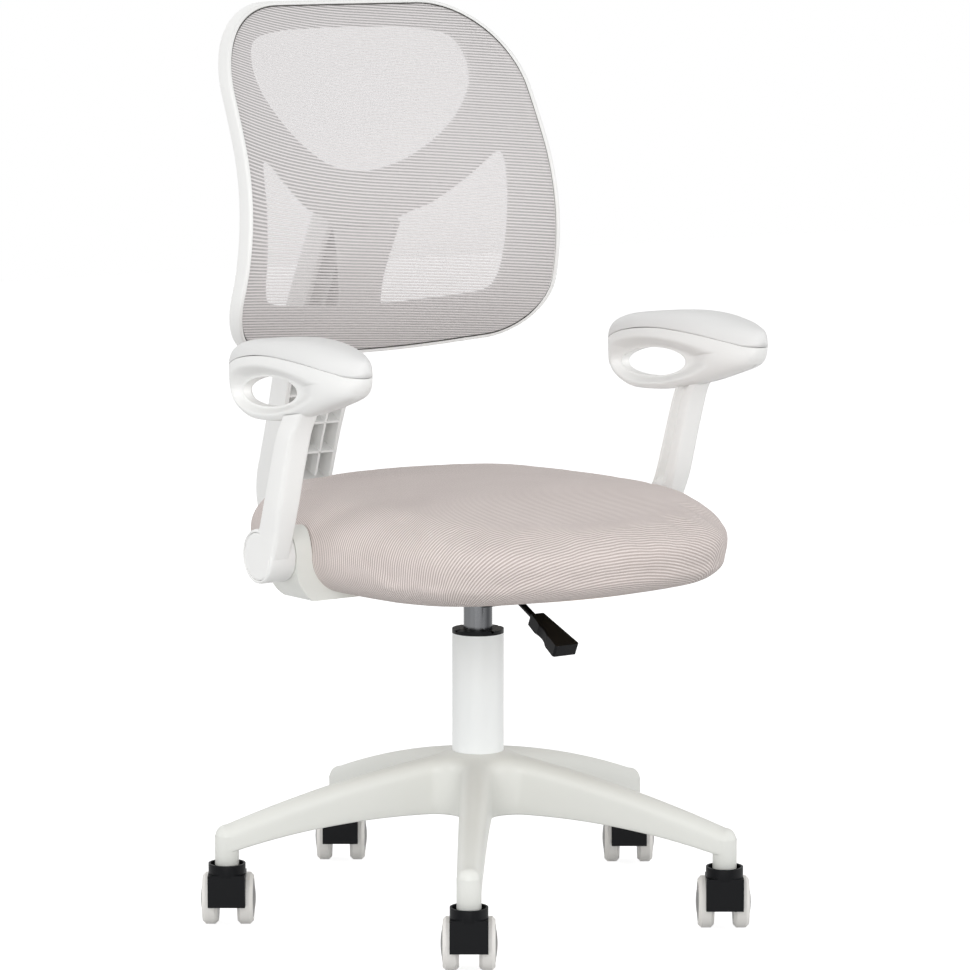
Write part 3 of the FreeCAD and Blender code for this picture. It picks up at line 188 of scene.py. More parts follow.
@dataclass(frozen=True)
class RibbedCloth(Finish):
    """Knitted seat cloth: raised ribs with a finer thread across them, and painted shade that darkens the
    cloth between the ribs.

    Both are read from the cloth's own flat UV, in metres.
    """

    rib: float = 3.1
    thread: float = 1.5
    rib_depth: float = 0.5

    def wire(self, tree: bpy.types.NodeTree, shader: bpy.types.Node) -> None:
        """Ribs as a sine along V, threads as a sine along U, both in the bump and in the colour, where the
        low parts between the ribs get painted shade.

        Args:
            tree: the material's nodes.
            shader: its surface shader.
        """
        flat = add_node(tree, "ShaderNodeUVMap", uv_map="cloth").outputs["UV"]
        parts = add_node(tree, "ShaderNodeSeparateXYZ", {"Vector": flat})
        rib = self.wave(tree, parts.outputs["Y"], self.rib)
        thread = self.wave(tree, parts.outputs["X"], self.thread)
        cross = add_node(tree, "ShaderNodeMath", {0: rib, 1: thread}, operation="MULTIPLY").outputs[0]
        height = add_node(tree, "ShaderNodeMath", {0: cross, 1: 0.35, 2: rib},
                          operation="MULTIPLY_ADD").outputs[0]
        place = add_node(tree, "ShaderNodeTexCoord").outputs["Object"]
        drift = add_node(tree, "ShaderNodeTexNoise", {
            "Vector": place, "Scale": 1 / (self.patch * MM), "Detail": 4.0})
        # Painted shade: where ribs and threads are low the colour goes towards the darker tone; the noise
        # only drifts the tone at random.
        lift = add_node(tree, "ShaderNodeMath", {0: drift.outputs["Fac"], 1: 0.25, 2: height},
                        operation="MULTIPLY_ADD").outputs[0]
        share = add_node(tree, "ShaderNodeMapRange", {"Value": lift, "From Min": 0.1, "From Max": 1.3})
        tone = add_node(tree, "ShaderNodeMix", {"Factor": share.outputs["Result"]}, data_type="RGBA")
        tone.inputs[6].default_value = linear(self.shade)
        tone.inputs[7].default_value = linear(self.colour)
        bump = add_node(tree, "ShaderNodeBump", {
            "Height": height, "Strength": 0.8, "Distance": self.rib_depth * MM})
        shader.inputs["Roughness"].default_value = self.roughness
        tree.links.new(tone.outputs[2], shader.inputs["Base Color"])
        tree.links.new(bump.outputs["Normal"], shader.inputs["Normal"])

    @staticmethod
    def wave(tree: bpy.types.NodeTree, along: bpy.types.NodeSocket, pitch: float) -> bpy.types.NodeSocket:
        """Height from 0 to 1 of a round thread: (1 + sin(2 pi way / pitch)) / 2.

        Args:
            tree: the material's nodes.
            along: the way across the threads, in metres.
            pitch: the threads' spacing, in millimetres.

        Returns:
            The socket that gives the height.
        """
        angle = add_node(tree, "ShaderNodeMath", {0: along, 1: 2 * math.pi / (pitch * MM)},
                         operation="MULTIPLY")
        sine = add_node(tree, "ShaderNodeMath", {0: angle.outputs[0]}, operation="SINE")
        return add_node(tree, "ShaderNodeMath", {0: sine.outputs[0], 1: 0.5, 2: 0.5},
                        operation="MULTIPLY_ADD").outputs[0]


@dataclass(frozen=True)
class StretchedNet(RibbedCloth):
    """See-through back net: thick cross ribs with thin open rows between them."""

    open_share: float = 0.25
    wander_size: float = 40.0
    wander: float = 0.6

    def wire(self, tree: bpy.types.NodeTree, shader: bpy.types.Node) -> None:
        """The ribs' height sets how solid the net is, from an open row to a closed rib, and its colour, with
        painted shade in the open rows.

        Args:
            tree: the material's nodes.
            shader: its surface shader.
        """
        flat = add_node(tree, "ShaderNodeUVMap", uv_map="cloth").outputs["UV"]
        place = add_node(tree, "ShaderNodeTexCoord").outputs["Object"]
        wander = add_node(tree, "ShaderNodeTexNoise", {
            "Vector": place, "Scale": 1 / (self.wander_size * MM), "Detail": 2.0})
        parts = add_node(tree, "ShaderNodeSeparateXYZ", {"Vector": flat})
        shift = add_node(tree, "ShaderNodeMath", {
            0: wander.outputs["Fac"], 1: self.wander * MM, 2: parts.outputs["Y"]},
            operation="MULTIPLY_ADD").outputs[0]
        rib = self.wave(tree, shift, self.rib)
        thread = self.wave(tree, parts.outputs["X"], self.thread)
        height = add_node(tree, "ShaderNodeMath", {0: thread, 1: 0.25, 2: rib},
                          operation="MULTIPLY_ADD").outputs[0]
        # Painted shade: the open rows between the ribs take the darker shade tone.
        tone = add_node(tree, "ShaderNodeMix", {"Factor": height}, data_type="RGBA")
        tone.inputs[6].default_value = linear(self.shade)
        tone.inputs[7].default_value = linear(self.colour)
        solid = add_node(tree, "ShaderNodeMapRange", {
            "Value": height, "From Min": 0.05, "From Max": 0.75, "To Min": self.open_share, "To Max": 0.97})
        bump = add_node(tree, "ShaderNodeBump", {
            "Height": height, "Strength": 0.7, "Distance": self.rib_depth * MM})
        shader.inputs["Roughness"].default_value = self.roughness
        tree.links.new(tone.outputs[2], shader.inputs["Base Color"])
        tree.links.new(solid.outputs["Result"], shader.inputs["Alpha"])
        tree.links.new(bump.outputs["Normal"], shader.inputs["Normal"])


@dataclass(frozen=True)
class PaintedReflectionMetal(Finish):
    """Metal with painted reflection: long soft bands of light and dark painted up it along Z."""

    def wire(self, tree: bpy.types.NodeTree, shader: bpy.types.Node) -> None:
        """A noise one patch wide across the metal and a hundred times longer along it sets the tone: painted
        reflection bands between the light and the dark colour.

        Args:
            tree: the material's nodes.
            shader: its surface shader.
        """
        place = add_node(tree, "ShaderNodeTexCoord").outputs["Object"]
        across = 1 / (self.patch * MM)
        stretch = add_node(tree, "ShaderNodeMapping", {
            "Vector": place, "Scale": (across, across, across / 100)})
        band = add_node(tree, "ShaderNodeTexNoise", {
            "Vector": stretch.outputs["Vector"], "Scale": 1.0, "Detail": 1.0})
        share = add_node(tree, "ShaderNodeMapRange", {
            "Value": band.outputs["Fac"], "From Min": 0.3, "From Max": 0.7}).outputs["Result"]
        # Painted reflection: light and dark bands in the base colour.
        tone = add_node(tree, "ShaderNodeMix", {"Factor": share}, data_type="RGBA")
        tone.inputs[6].default_value = linear(self.colour)
        tone.inputs[7].default_value = linear(self.shade)
        shader.inputs["Roughness"].default_value = self.roughness
        tree.links.new(tone.outputs[2], shader.inputs["Base Color"])


@dataclass(frozen=True)
class PlywoodEdge(Finish):
    """Birch plywood: stacked veneers that show as bands through the board's thickness, with long grain."""

    veneer: float = 1.5

    def wire(self, tree: bpy.types.NodeTree, shader: bpy.types.Node) -> None:
        """Bands along Z at twice the veneer's thickness, broken up by a stretched noise.

        Args:
            tree: the material's nodes.
            shader: its surface shader.
        """
        place = add_node(tree, "ShaderNodeTexCoord").outputs["Object"]
        stretch = add_node(tree, "ShaderNodeMapping", {"Vector": place, "Scale": (60.0, 400.0, 60.0)})
        grain = add_node(tree, "ShaderNodeTexNoise", {
            "Vector": stretch.outputs["Vector"], "Scale": 1.0, "Detail": 5.0})
        height = add_node(tree, "ShaderNodeSeparateXYZ", {"Vector": place}).outputs["Z"]
        band = RibbedCloth.wave(tree, height, 2 * self.veneer)
        mixed = add_node(tree, "ShaderNodeMath", {0: grain.outputs["Fac"], 1: band}, operation="MULTIPLY")
        tone = add_node(tree, "ShaderNodeMix", {"Factor": mixed.outputs[0]}, data_type="RGBA")
        tone.inputs[6].default_value = linear(self.colour)
        tone.inputs[7].default_value = linear(self.shade)
        bump = add_node(tree, "ShaderNodeBump", {
            "Height": grain.outputs["Fac"], "Strength": 0.3, "Distance": self.grain_depth * MM})
        shader.inputs["Roughness"].default_value = self.roughness
        tree.links.new(tone.outputs[2], shader.inputs["Base Color"])
        tree.links.new(bump.outputs["Normal"], shader.inputs["Normal"])


# Glass-filled nylon of the base and brackets: a warmer, greyer white than the other mouldings, with a coarser
# grain. On the brackets the greyer white is also painted shade, for the seat's shadow on them.
BASE_FINISH = Finish("glass_filled_nylon_and_bracket_shade", "E8E9E4", "E3E4DF", 0.4, grain=1.6)
FINISHES: dict[Slot, Finish] = {
    # Satin moulded polypropylene: a soft broad highlight over a faint mould grain, never mirror-like.
    Slot.WHITE_PLASTIC: Finish("moulded_white_polypropylene", "F3F3F1", "EFEFEE", 0.42, ior=1.49),
    # Powder coat on steel tube: a little cooler and glossier, with a shallow orange peel.
    Slot.WHITE_PAINT: Finish("white_powder_coat", "F3F5F5", "EFF2F2", 0.33, grain=2.5, grain_depth=0.05),
    # Foamed polyurethane skin: duller than the hard plastic, with a leather-fine grain.
    Slot.SOFT_PAD: Finish("polyurethane_arm_skin", "E8E8E7", "E4E4E3", 0.5, grain=0.9, grain_depth=0.05),
    # Black nylon: near black, with a satin shine on its edges.
    Slot.BLACK_PLASTIC: Finish("black_nylon", "0B0C0F", "08090B", 0.45, ior=1.22),
    # Hub discs: dark grey moulded nylon with a low shine. The back's dark cord, painted shadow between net
    # and rim, takes it too.
    Slot.GREY_PLASTIC: Finish("dark_grey_nylon_and_gap_shadow", "45433F", "3C3A37", 0.35, ior=1.35),
    # Cast polyurethane tread: warm off-white, dull and slightly soft to the eye.
    Slot.PALE_TYRE: Finish("cast_polyurethane_tread", "F2F0EC", "EBE9E5", 0.55, grain=0.8),
    # Hard chrome on the gas cylinder: a mirror with long soft bands of painted reflection, in two dark greys
    # that stand for the surroundings it reflects.
    Slot.CHROME: PaintedReflectionMetal("hard_chrome", "707173", "2C2D2F", 0.2, metallic=1.0, patch=9.0),
    # Zinc-plated steel: grey, with a broken soft shine.
    Slot.STEEL: Finish("zinc_plated_steel", "B9BABC", "A5A6A8", 0.32, metallic=1.0, grain=0.5,
                       grain_depth=0.01),
    # Black powder coat on pressed steel: dull, with a fine pebble.
    Slot.BLACK_PAINT: Finish("black_powder_coat", "040404", "060606", 0.5, ior=1.25, grain=1.5,
                             grain_depth=0.06),
    # Raw plywood: warm bands of veneer.
    Slot.PLYWOOD: PlywoodEdge("birch_plywood", "CDB289", "A98A5F", 0.6),
    # Ribbed polyester knit over foam: pale mauve-grey ribs; the darker, warmer second colour is painted shade
    # in the valleys between them.
    Slot.SEAT_CLOTH: RibbedCloth("ribbed_polyester_knit", "F0E6E2", "B4A7A2", 0.85, sheen=0.15, patch=60.0),
    # Stretched polyester net: pale ribs, and open rows through which the brace shows, painted darker as shade
    # between the ribs.
    Slot.BACK_NET: StretchedNet("stretched_polyester_net", "E6E2E2", "A5A1A2", 0.8, sheen=0.1, rib=3.1,
                                thread=1.3, rib_depth=0.3),
}


# Mesh helpers


def grid_quads(rows: int, cols: int, close_rows: bool = False, close_cols: bool = False) -> Array:
    """Corner numbers of the quads of a grid of points, with either direction closed on itself.

    Args:
        rows: points in the first direction.
        cols: points in the second direction.
        close_rows: the last row joins the first.
        close_cols: the last column joins the first.

    Returns:
        An array of four corner numbers per quad.
    """
    row, col = np.meshgrid(np.arange(rows if close_rows else rows - 1),
                           np.arange(cols if close_cols else cols - 1), indexing="ij")
    next_row = (row + 1) % rows
    next_col = (col + 1) % cols
    quads = [row * cols + col, next_row * cols + col, next_row * cols + next_col, row * cols + next_col]
    return np.stack(quads, axis=-1).reshape(-1, 4)


def add_piece(name: str, points: Array, quads: Array) -> bpy.types.Object:
    """Make a smooth mesh object from points in millimetres and quads, at the origin.

    Args:
        name: the piece's name.
        points: any array of points whose last axis is x, y, z.
        quads: four corner numbers per quad.

    Returns:
        The new object, linked to the scene.
    """
    mesh = bpy.data.meshes.new(name)
    flat = (points.reshape(-1, 3) * MM).astype(np.float32)
    mesh.vertices.add(len(flat))
    mesh.vertices.foreach_set("co", flat.ravel())
    mesh.loops.add(quads.size)
    mesh.loops.foreach_set("vertex_index", quads.astype(np.int32).ravel())
    mesh.polygons.add(len(quads))
    mesh.polygons.foreach_set("loop_start", np.arange(0, quads.size, 4, dtype=np.int32))
    mesh.polygons.foreach_set("use_smooth", np.ones(len(quads), dtype=bool))
    mesh.update(calc_edges=True)
    mesh.validate()
    piece = bpy.data.objects.new(name, mesh)
    bpy.context.scene.collection.objects.link(piece)
    return piece


def close_up(piece: bpy.types.Object, ends: bool = False) -> None:
    """Merge points that meet and turn the faces of a closed piece outwards.

    Args:
        piece: the object to close.
        ends: whether its open ends get a face each.
    """
    work = bmesh.new()
    work.from_mesh(piece.data)
    bmesh.ops.remove_doubles(work, verts=work.verts, dist=0.01 * MM)
    bmesh.ops.dissolve_degenerate(work, edges=work.edges, dist=0.001 * MM)
    if ends:
        bmesh.ops.holes_fill(work, edges=[edge for edge in work.edges if edge.is_boundary])
    bmesh.ops.recalc_face_normals(work, faces=work.faces)
    work.to_mesh(piece.data)
    work.free()
    piece.data.polygons.foreach_set("use_smooth", np.ones(len(piece.data.polygons), dtype=bool))


def vertex_places(piece: bpy.types.Object) -> Array:
    """The piece's points in millimetres, one row each.

    Args:
        piece: the object.

    Returns:
        Points, one row each.
    """
    flat = np.empty(len(piece.data.vertices) * 3, dtype=np.float32)
    piece.data.vertices.foreach_get("co", flat)
    return flat.reshape(-1, 3).astype(float) / MM


def even_out(piece: bpy.types.Object, passes: int) -> None:
    """Smooth a mesh without shrinking it.

    Each pass moves a point half the way to its neighbours' mean, then a little more than that back.

    Args:
        piece: the object to smooth.
        passes: how many times it is done.
    """
    edges = np.empty(len(piece.data.edges) * 2, dtype=np.int32)
    piece.data.edges.foreach_get("vertices", edges)
    first, second = edges.reshape(-1, 2).T
    here = np.concatenate([first, second])
    there = np.concatenate([second, first])
    places = vertex_places(piece)
    count = np.maximum(np.bincount(here, minlength=len(places)), 1)
    for share in (0.5, -0.52) * passes:
        mean = np.stack([np.bincount(here, axis[there], len(places)) / count for axis in places.T], axis=1)
        places = places + share * (mean - places)
    piece.data.vertices.foreach_set("co", (places * MM).astype(np.float32).ravel())


def lay_flat_map(piece: bpy.types.Object, flat: Array) -> None:
    """Store each point's place on the uncut cloth, in metres, as the UV map "cloth".

    Args:
        piece: the object.
        flat: places on the uncut cloth, in millimetres, one row each.
    """
    corners = np.empty(len(piece.data.loops), dtype=np.int32)
    piece.data.loops.foreach_get("vertex_index", corners)
    layer = piece.data.uv_layers.new(name="cloth")
    layer.data.foreach_set("uv", (flat[corners] * MM).astype(np.float32).ravel())


def smoothed(piece: bpy.types.Object, levels: int = 1) -> None:
    """Add a Subdivision Surface with equal levels.

    Args:
        piece: the object.
        levels: how many times each face is split.
    """
    modifier = piece.modifiers.new("smooth", "SUBSURF")
    modifier.levels = levels
    modifier.render_levels = levels


def disc_grid(count: int) -> tuple[Array, Array]:
    """A square grid pressed into a disc: x = a sqrt(1 - b^2 / 2) and y = b sqrt(1 - a^2 / 2).

    Args:
        count: points along each side of the square.

    Returns:
        Each point's distance from the centre, 0 to 1, and its angle.
    """
    side = np.linspace(-1, 1, count)
    across, up = np.meshgrid(side, side, indexing="ij")
    x = across * np.sqrt(1 - up ** 2 / 2)
    y = up * np.sqrt(1 - across ** 2 / 2)
    return np.clip(np.hypot(x, y), 0, 1), np.arctan2(y, x)


def around(outline: Array, centre: Array, angle: Array) -> Array:
    """Distance from a centre to a closed outline in each direction, read from its points by angle.

    Args:
        outline: points of the outline, one row each.
        centre: the point that the outline is seen from.
        angle: directions, in radians.

    Returns:
        The distances, in the shape of the angles.
    """
    way = outline - centre
    headings = np.arctan2(way[:, 1], way[:, 0])
    return np.interp(angle, headings, np.hypot(way[:, 0], way[:, 1]), period=2 * math.pi)


def rounded_polygon(corners: Array, radii: Array, steps: int = 24) -> Array:
    """A closed polygon whose corners are arcs tangent to both sides.

    The arc's centre is on the corner's bisector, radius / sin(half the corner's angle) from the corner.

    Args:
        corners: the polygon's corners, anticlockwise, one row each.
        radii: the arc radius at each corner.
        steps: points on each arc.

    Returns:
        Points of the outline, one row each.
    """
    before = np.roll(corners, 1, axis=0) - corners
    after = np.roll(corners, -1, axis=0) - corners
    before /= np.linalg.norm(before, axis=1, keepdims=True)
    after /= np.linalg.norm(after, axis=1, keepdims=True)
    bisector = before + after
    bisector /= np.linalg.norm(bisector, axis=1, keepdims=True)
    half = np.arccos(np.clip(np.sum(before * after, axis=1), -1, 1)) / 2
    centres = corners + bisector * (radii / np.sin(half))[:, None]
    start = centres - corners - before * (radii / np.tan(half))[:, None]
    heading = np.arctan2(-start[:, 1], -start[:, 0])
    bend = np.sign(after[:, 0] * before[:, 1] - after[:, 1] * before[:, 0])
    sweep = bend * (math.pi - 2 * half)
    turn = heading[:, None] + sweep[:, None] * np.linspace(0, 1, steps)[None, :]
    points = centres[:, None, :] + radii[:, None, None] * np.stack([np.cos(turn), np.sin(turn)], axis=-1)
    return points.reshape(-1, 2)


def evenly(points: Array, count: int) -> Array:
    """Points at even steps of length along a closed outline.

    Args:
        points: corners of the outline, one row each.
        count: how many points to give back.

    Returns:
        The new points, one row each.
    """
    ring = np.concatenate([points, points[:1]])
    travel = np.concatenate([[0.0], np.cumsum(np.linalg.norm(np.diff(ring, axis=0), axis=1))])
    stops = np.linspace(0, travel[-1], count + 1)[:-1]
    return np.column_stack([np.interp(stops, travel, ring[:, axis]) for axis in range(ring.shape[1])])


def curve_through(spots: Array, count: int, closed: bool = False) -> Array:
    """Smooth curve through spots: cubic runs whose slope at a spot is half the way between its neighbours.

    Args:
        spots: places that the curve passes, one row each.
        count: how many points to give back.
        closed: the last spot runs on into the first.

    Returns:
        The curve's points, one row each.
    """
    if closed:
        ring = np.concatenate([spots[-1:], spots, spots[:2]])
    else:
        ring = np.concatenate([2 * spots[:1] - spots[1:2], spots, 2 * spots[-1:] - spots[-2:-1]])
    runs = len(ring) - 3
    place = np.linspace(0, runs, count, endpoint=not closed)
    first = np.minimum(place.astype(int), runs - 1)
    step = (place - first)[:, None]
    before, start, end, after = (ring[first + at] for at in range(4))
    return 0.5 * (2 * start + (end - before) * step + (2 * before - 5 * start + 4 * end - after) * step ** 2
                  + (3 * start - before - 3 * end + after) * step ** 3)


def smooth_step(value: Array, low: float, high: float) -> Array:
    """0 below low, 1 above high, and 3 t^2 - 2 t^3 between them."""
    share = np.clip((value - low) / (high - low), 0, 1)
    return share * share * (3 - 2 * share)


# Sub-assemblies


@dataclass
class Studio:
    """Camera, white surroundings, floor and soft lamps."""

    focal_pixels: float = 4382.68
    distance: float = 4.16031
    height: float = 1.0055
    pitch: float = 0.1404
    offset: float = 0.006785
    azimuth: float = math.radians(-34.5)
    floor_size: float = 12.0
    sensor: float = 36.0
    sky: float = 0.58
    floor_glow: float = 0.85
    lamps: tuple[tuple[str, tuple[float, float, float], float, float], ...] = (
        ("front", (-1.7, -2.2, 0.8), 2.0, 40), ("top", (-2.4, -0.6, 2.6), 2.2, 8),
        ("left", (-2.3, 1.1, 1.0), 0.9, 8), ("right", (2.4, -2.2, 0.8), 2.4, 32),
        ("rear", (0.6, 2.6, 2.6), 2.0, 10))

    def build(self) -> None:
        """Make the camera, the world, the floor and the lamps."""
        self.camera()
        self.world()
        self.floor()
        for name, place, size, power in self.lamps:
            self.lamp(name, place, size, power)
        bpy.context.scene.view_settings.view_transform = "Standard"

    def camera(self) -> None:
        """Place the camera: right, up and forward come from the azimuth and the pitch."""
        right = np.array([math.cos(self.azimuth), math.sin(self.azimuth), 0.0])
        away = np.array([-math.sin(self.azimuth), math.cos(self.azimuth), 0.0])
        up_axis = np.array([0.0, 0.0, 1.0])
        forward = away * math.cos(self.pitch) - up_axis * math.sin(self.pitch)
        up = np.cross(right, forward)
        place = right * self.offset - away * self.distance + up_axis * self.height
        data = bpy.data.cameras.new("photo_camera")
        data.sensor_width = self.sensor
        data.lens = self.sensor * self.focal_pixels / PHOTO_PIXELS
        camera = bpy.data.objects.new("photo_camera", data)
        matrix = np.eye(4)
        matrix[:3, :4] = np.stack([right, up, -forward, place], axis=1)
        camera.matrix_world = matrix.T.tolist()
        bpy.context.scene.collection.objects.link(camera)
        bpy.context.scene.camera = camera

    def world(self) -> None:
        """White to the camera, to mirrors and through glass, and a soft even light to everything else."""
        world = bpy.data.worlds.new("studio")
        bpy.context.scene.world = world
        world.use_nodes = True
        tree = world.node_tree
        seen = self.seen_directly(tree)
        strength = add_node(tree, "ShaderNodeMapRange", {"Value": seen, "To Min": self.sky, "To Max": 1.0})
        background = tree.nodes["Background"]
        background.inputs["Color"].default_value = (1.0, 1.0, 1.0, 1.0)
        tree.links.new(strength.outputs["Result"], background.inputs["Strength"])

    @staticmethod
    def seen_directly(tree: bpy.types.NodeTree) -> bpy.types.NodeSocket:
        """1 for rays from the camera, a mirror or glass, else 0.

        Args:
            tree: the material's nodes.

        Returns:
            The socket that gives it.
        """
        path = add_node(tree, "ShaderNodeLightPath")
        first = add_node(tree, "ShaderNodeMath", {
            0: path.outputs["Is Camera Ray"], 1: path.outputs["Is Glossy Ray"]}, operation="MAXIMUM")
        return add_node(tree, "ShaderNodeMath", {0: first.outputs[0], 1: path.outputs["Is Transmission Ray"]},
                        operation="MAXIMUM").outputs[0]

    def floor(self) -> None:
        """A pale floor that looks white where it is lit and keeps the chair's soft shadow."""
        half = self.floor_size / 2 / MM
        side = np.array([-half, half])
        x, y = np.meshgrid(side, side, indexing="ij")
        piece = add_piece("studio_floor", np.stack([x, y, np.zeros_like(x)], axis=-1), grid_quads(2, 2))
        material = bpy.data.materials.new("studio_paper")
        material.use_nodes = True
        tree = material.node_tree
        tree.nodes.clear()
        paper = add_node(tree, "ShaderNodeBsdfDiffuse", {"Color": (0.5, 0.5, 0.5, 1.0)})
        lift = add_node(tree, "ShaderNodeMath", {0: self.seen_directly(tree), 1: self.floor_glow},
                        operation="MULTIPLY")
        glow = add_node(tree, "ShaderNodeEmission", {
            "Color": (1.0, 1.0, 1.0, 1.0), "Strength": lift.outputs[0]})
        both = add_node(tree, "ShaderNodeAddShader", {0: paper.outputs[0], 1: glow.outputs[0]})
        add_node(tree, "ShaderNodeOutputMaterial", {"Surface": both.outputs[0]})
        piece.data.materials.append(material)

    @staticmethod
    def lamp(name: str, place: tuple[float, float, float], size: float, power: float) -> None:
        """A square soft box aimed at the seat.

        Args:
            name: the lamp's name.
            place: where it stands, in metres.
            size: its side, in metres.
            power: its power, in watts.
        """
        data = bpy.data.lights.new(name, "AREA")
        data.size = size
        data.energy = power
        lamp = bpy.data.objects.new(name, data)
        lamp.location = place
        aim = np.array(LAMP_AIM) - np.array(place)
        flat = math.hypot(aim[0], aim[1])
        lamp.rotation_euler = (math.atan2(flat, -aim[2]), 0.0, math.atan2(-aim[0], aim[1]))
        bpy.context.scene.collection.objects.link(lamp)


@dataclass
class Wardrobe:
    """The finished materials, and how pieces get them."""

    materials: dict[Slot, bpy.types.Material]
    nylon_and_bracket_shade: bpy.types.Material

    @classmethod
    def stocked(cls) -> "Wardrobe":
        """Make every finish once."""
        return cls({slot: finish.make() for slot, finish in FINISHES.items()}, BASE_FINISH.make())

    def dress(self, piece: bpy.types.Object, slot: Slot, body: str, *nodes: str) -> None:
        """Give a new piece its finish, body and the nodes that it stands for.

        Args:
            piece: the object.
            slot: the finish it takes.
            body: the body it rides on.
            nodes: the CAD nodes it stands for.
        """
        piece.data.materials.append(self.materials[slot])
        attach(piece, body)
        if nodes:
            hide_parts(*nodes)
        log.info("%s: %s on %s", piece.name, slot.value, body)

    def dress_nodes(self) -> None:
        """Give every carried-over node the finish of its slot in the record, except the brackets, which take
        the greyer base nylon as painted shade.
        """
        for name, node in frame["nodes"].items():
            slot = self.slot_of(name)
            # Painted shade: the brackets take the greyer base nylon, darker than their own white plastic, for
            # the seat's shadow on them.
            finish = self.nylon_and_bracket_shade if name.startswith("arm_bracket") else self.materials[slot]
            for material_slot in node.material_slots:
                material_slot.material = finish
            log.info("%s: %s", name, slot.value)

    @staticmethod
    def slot_of(name: str) -> Slot:
        """The record's slot for a node.

        Args:
            name: the node's name.

        Returns:
            The slot, white plastic where there is none.
        """
        for row in frame["record"]["subparts"]:
            if row["node"] == name:
                return Slot(row["material_slot"])
        return Slot.WHITE_PLASTIC


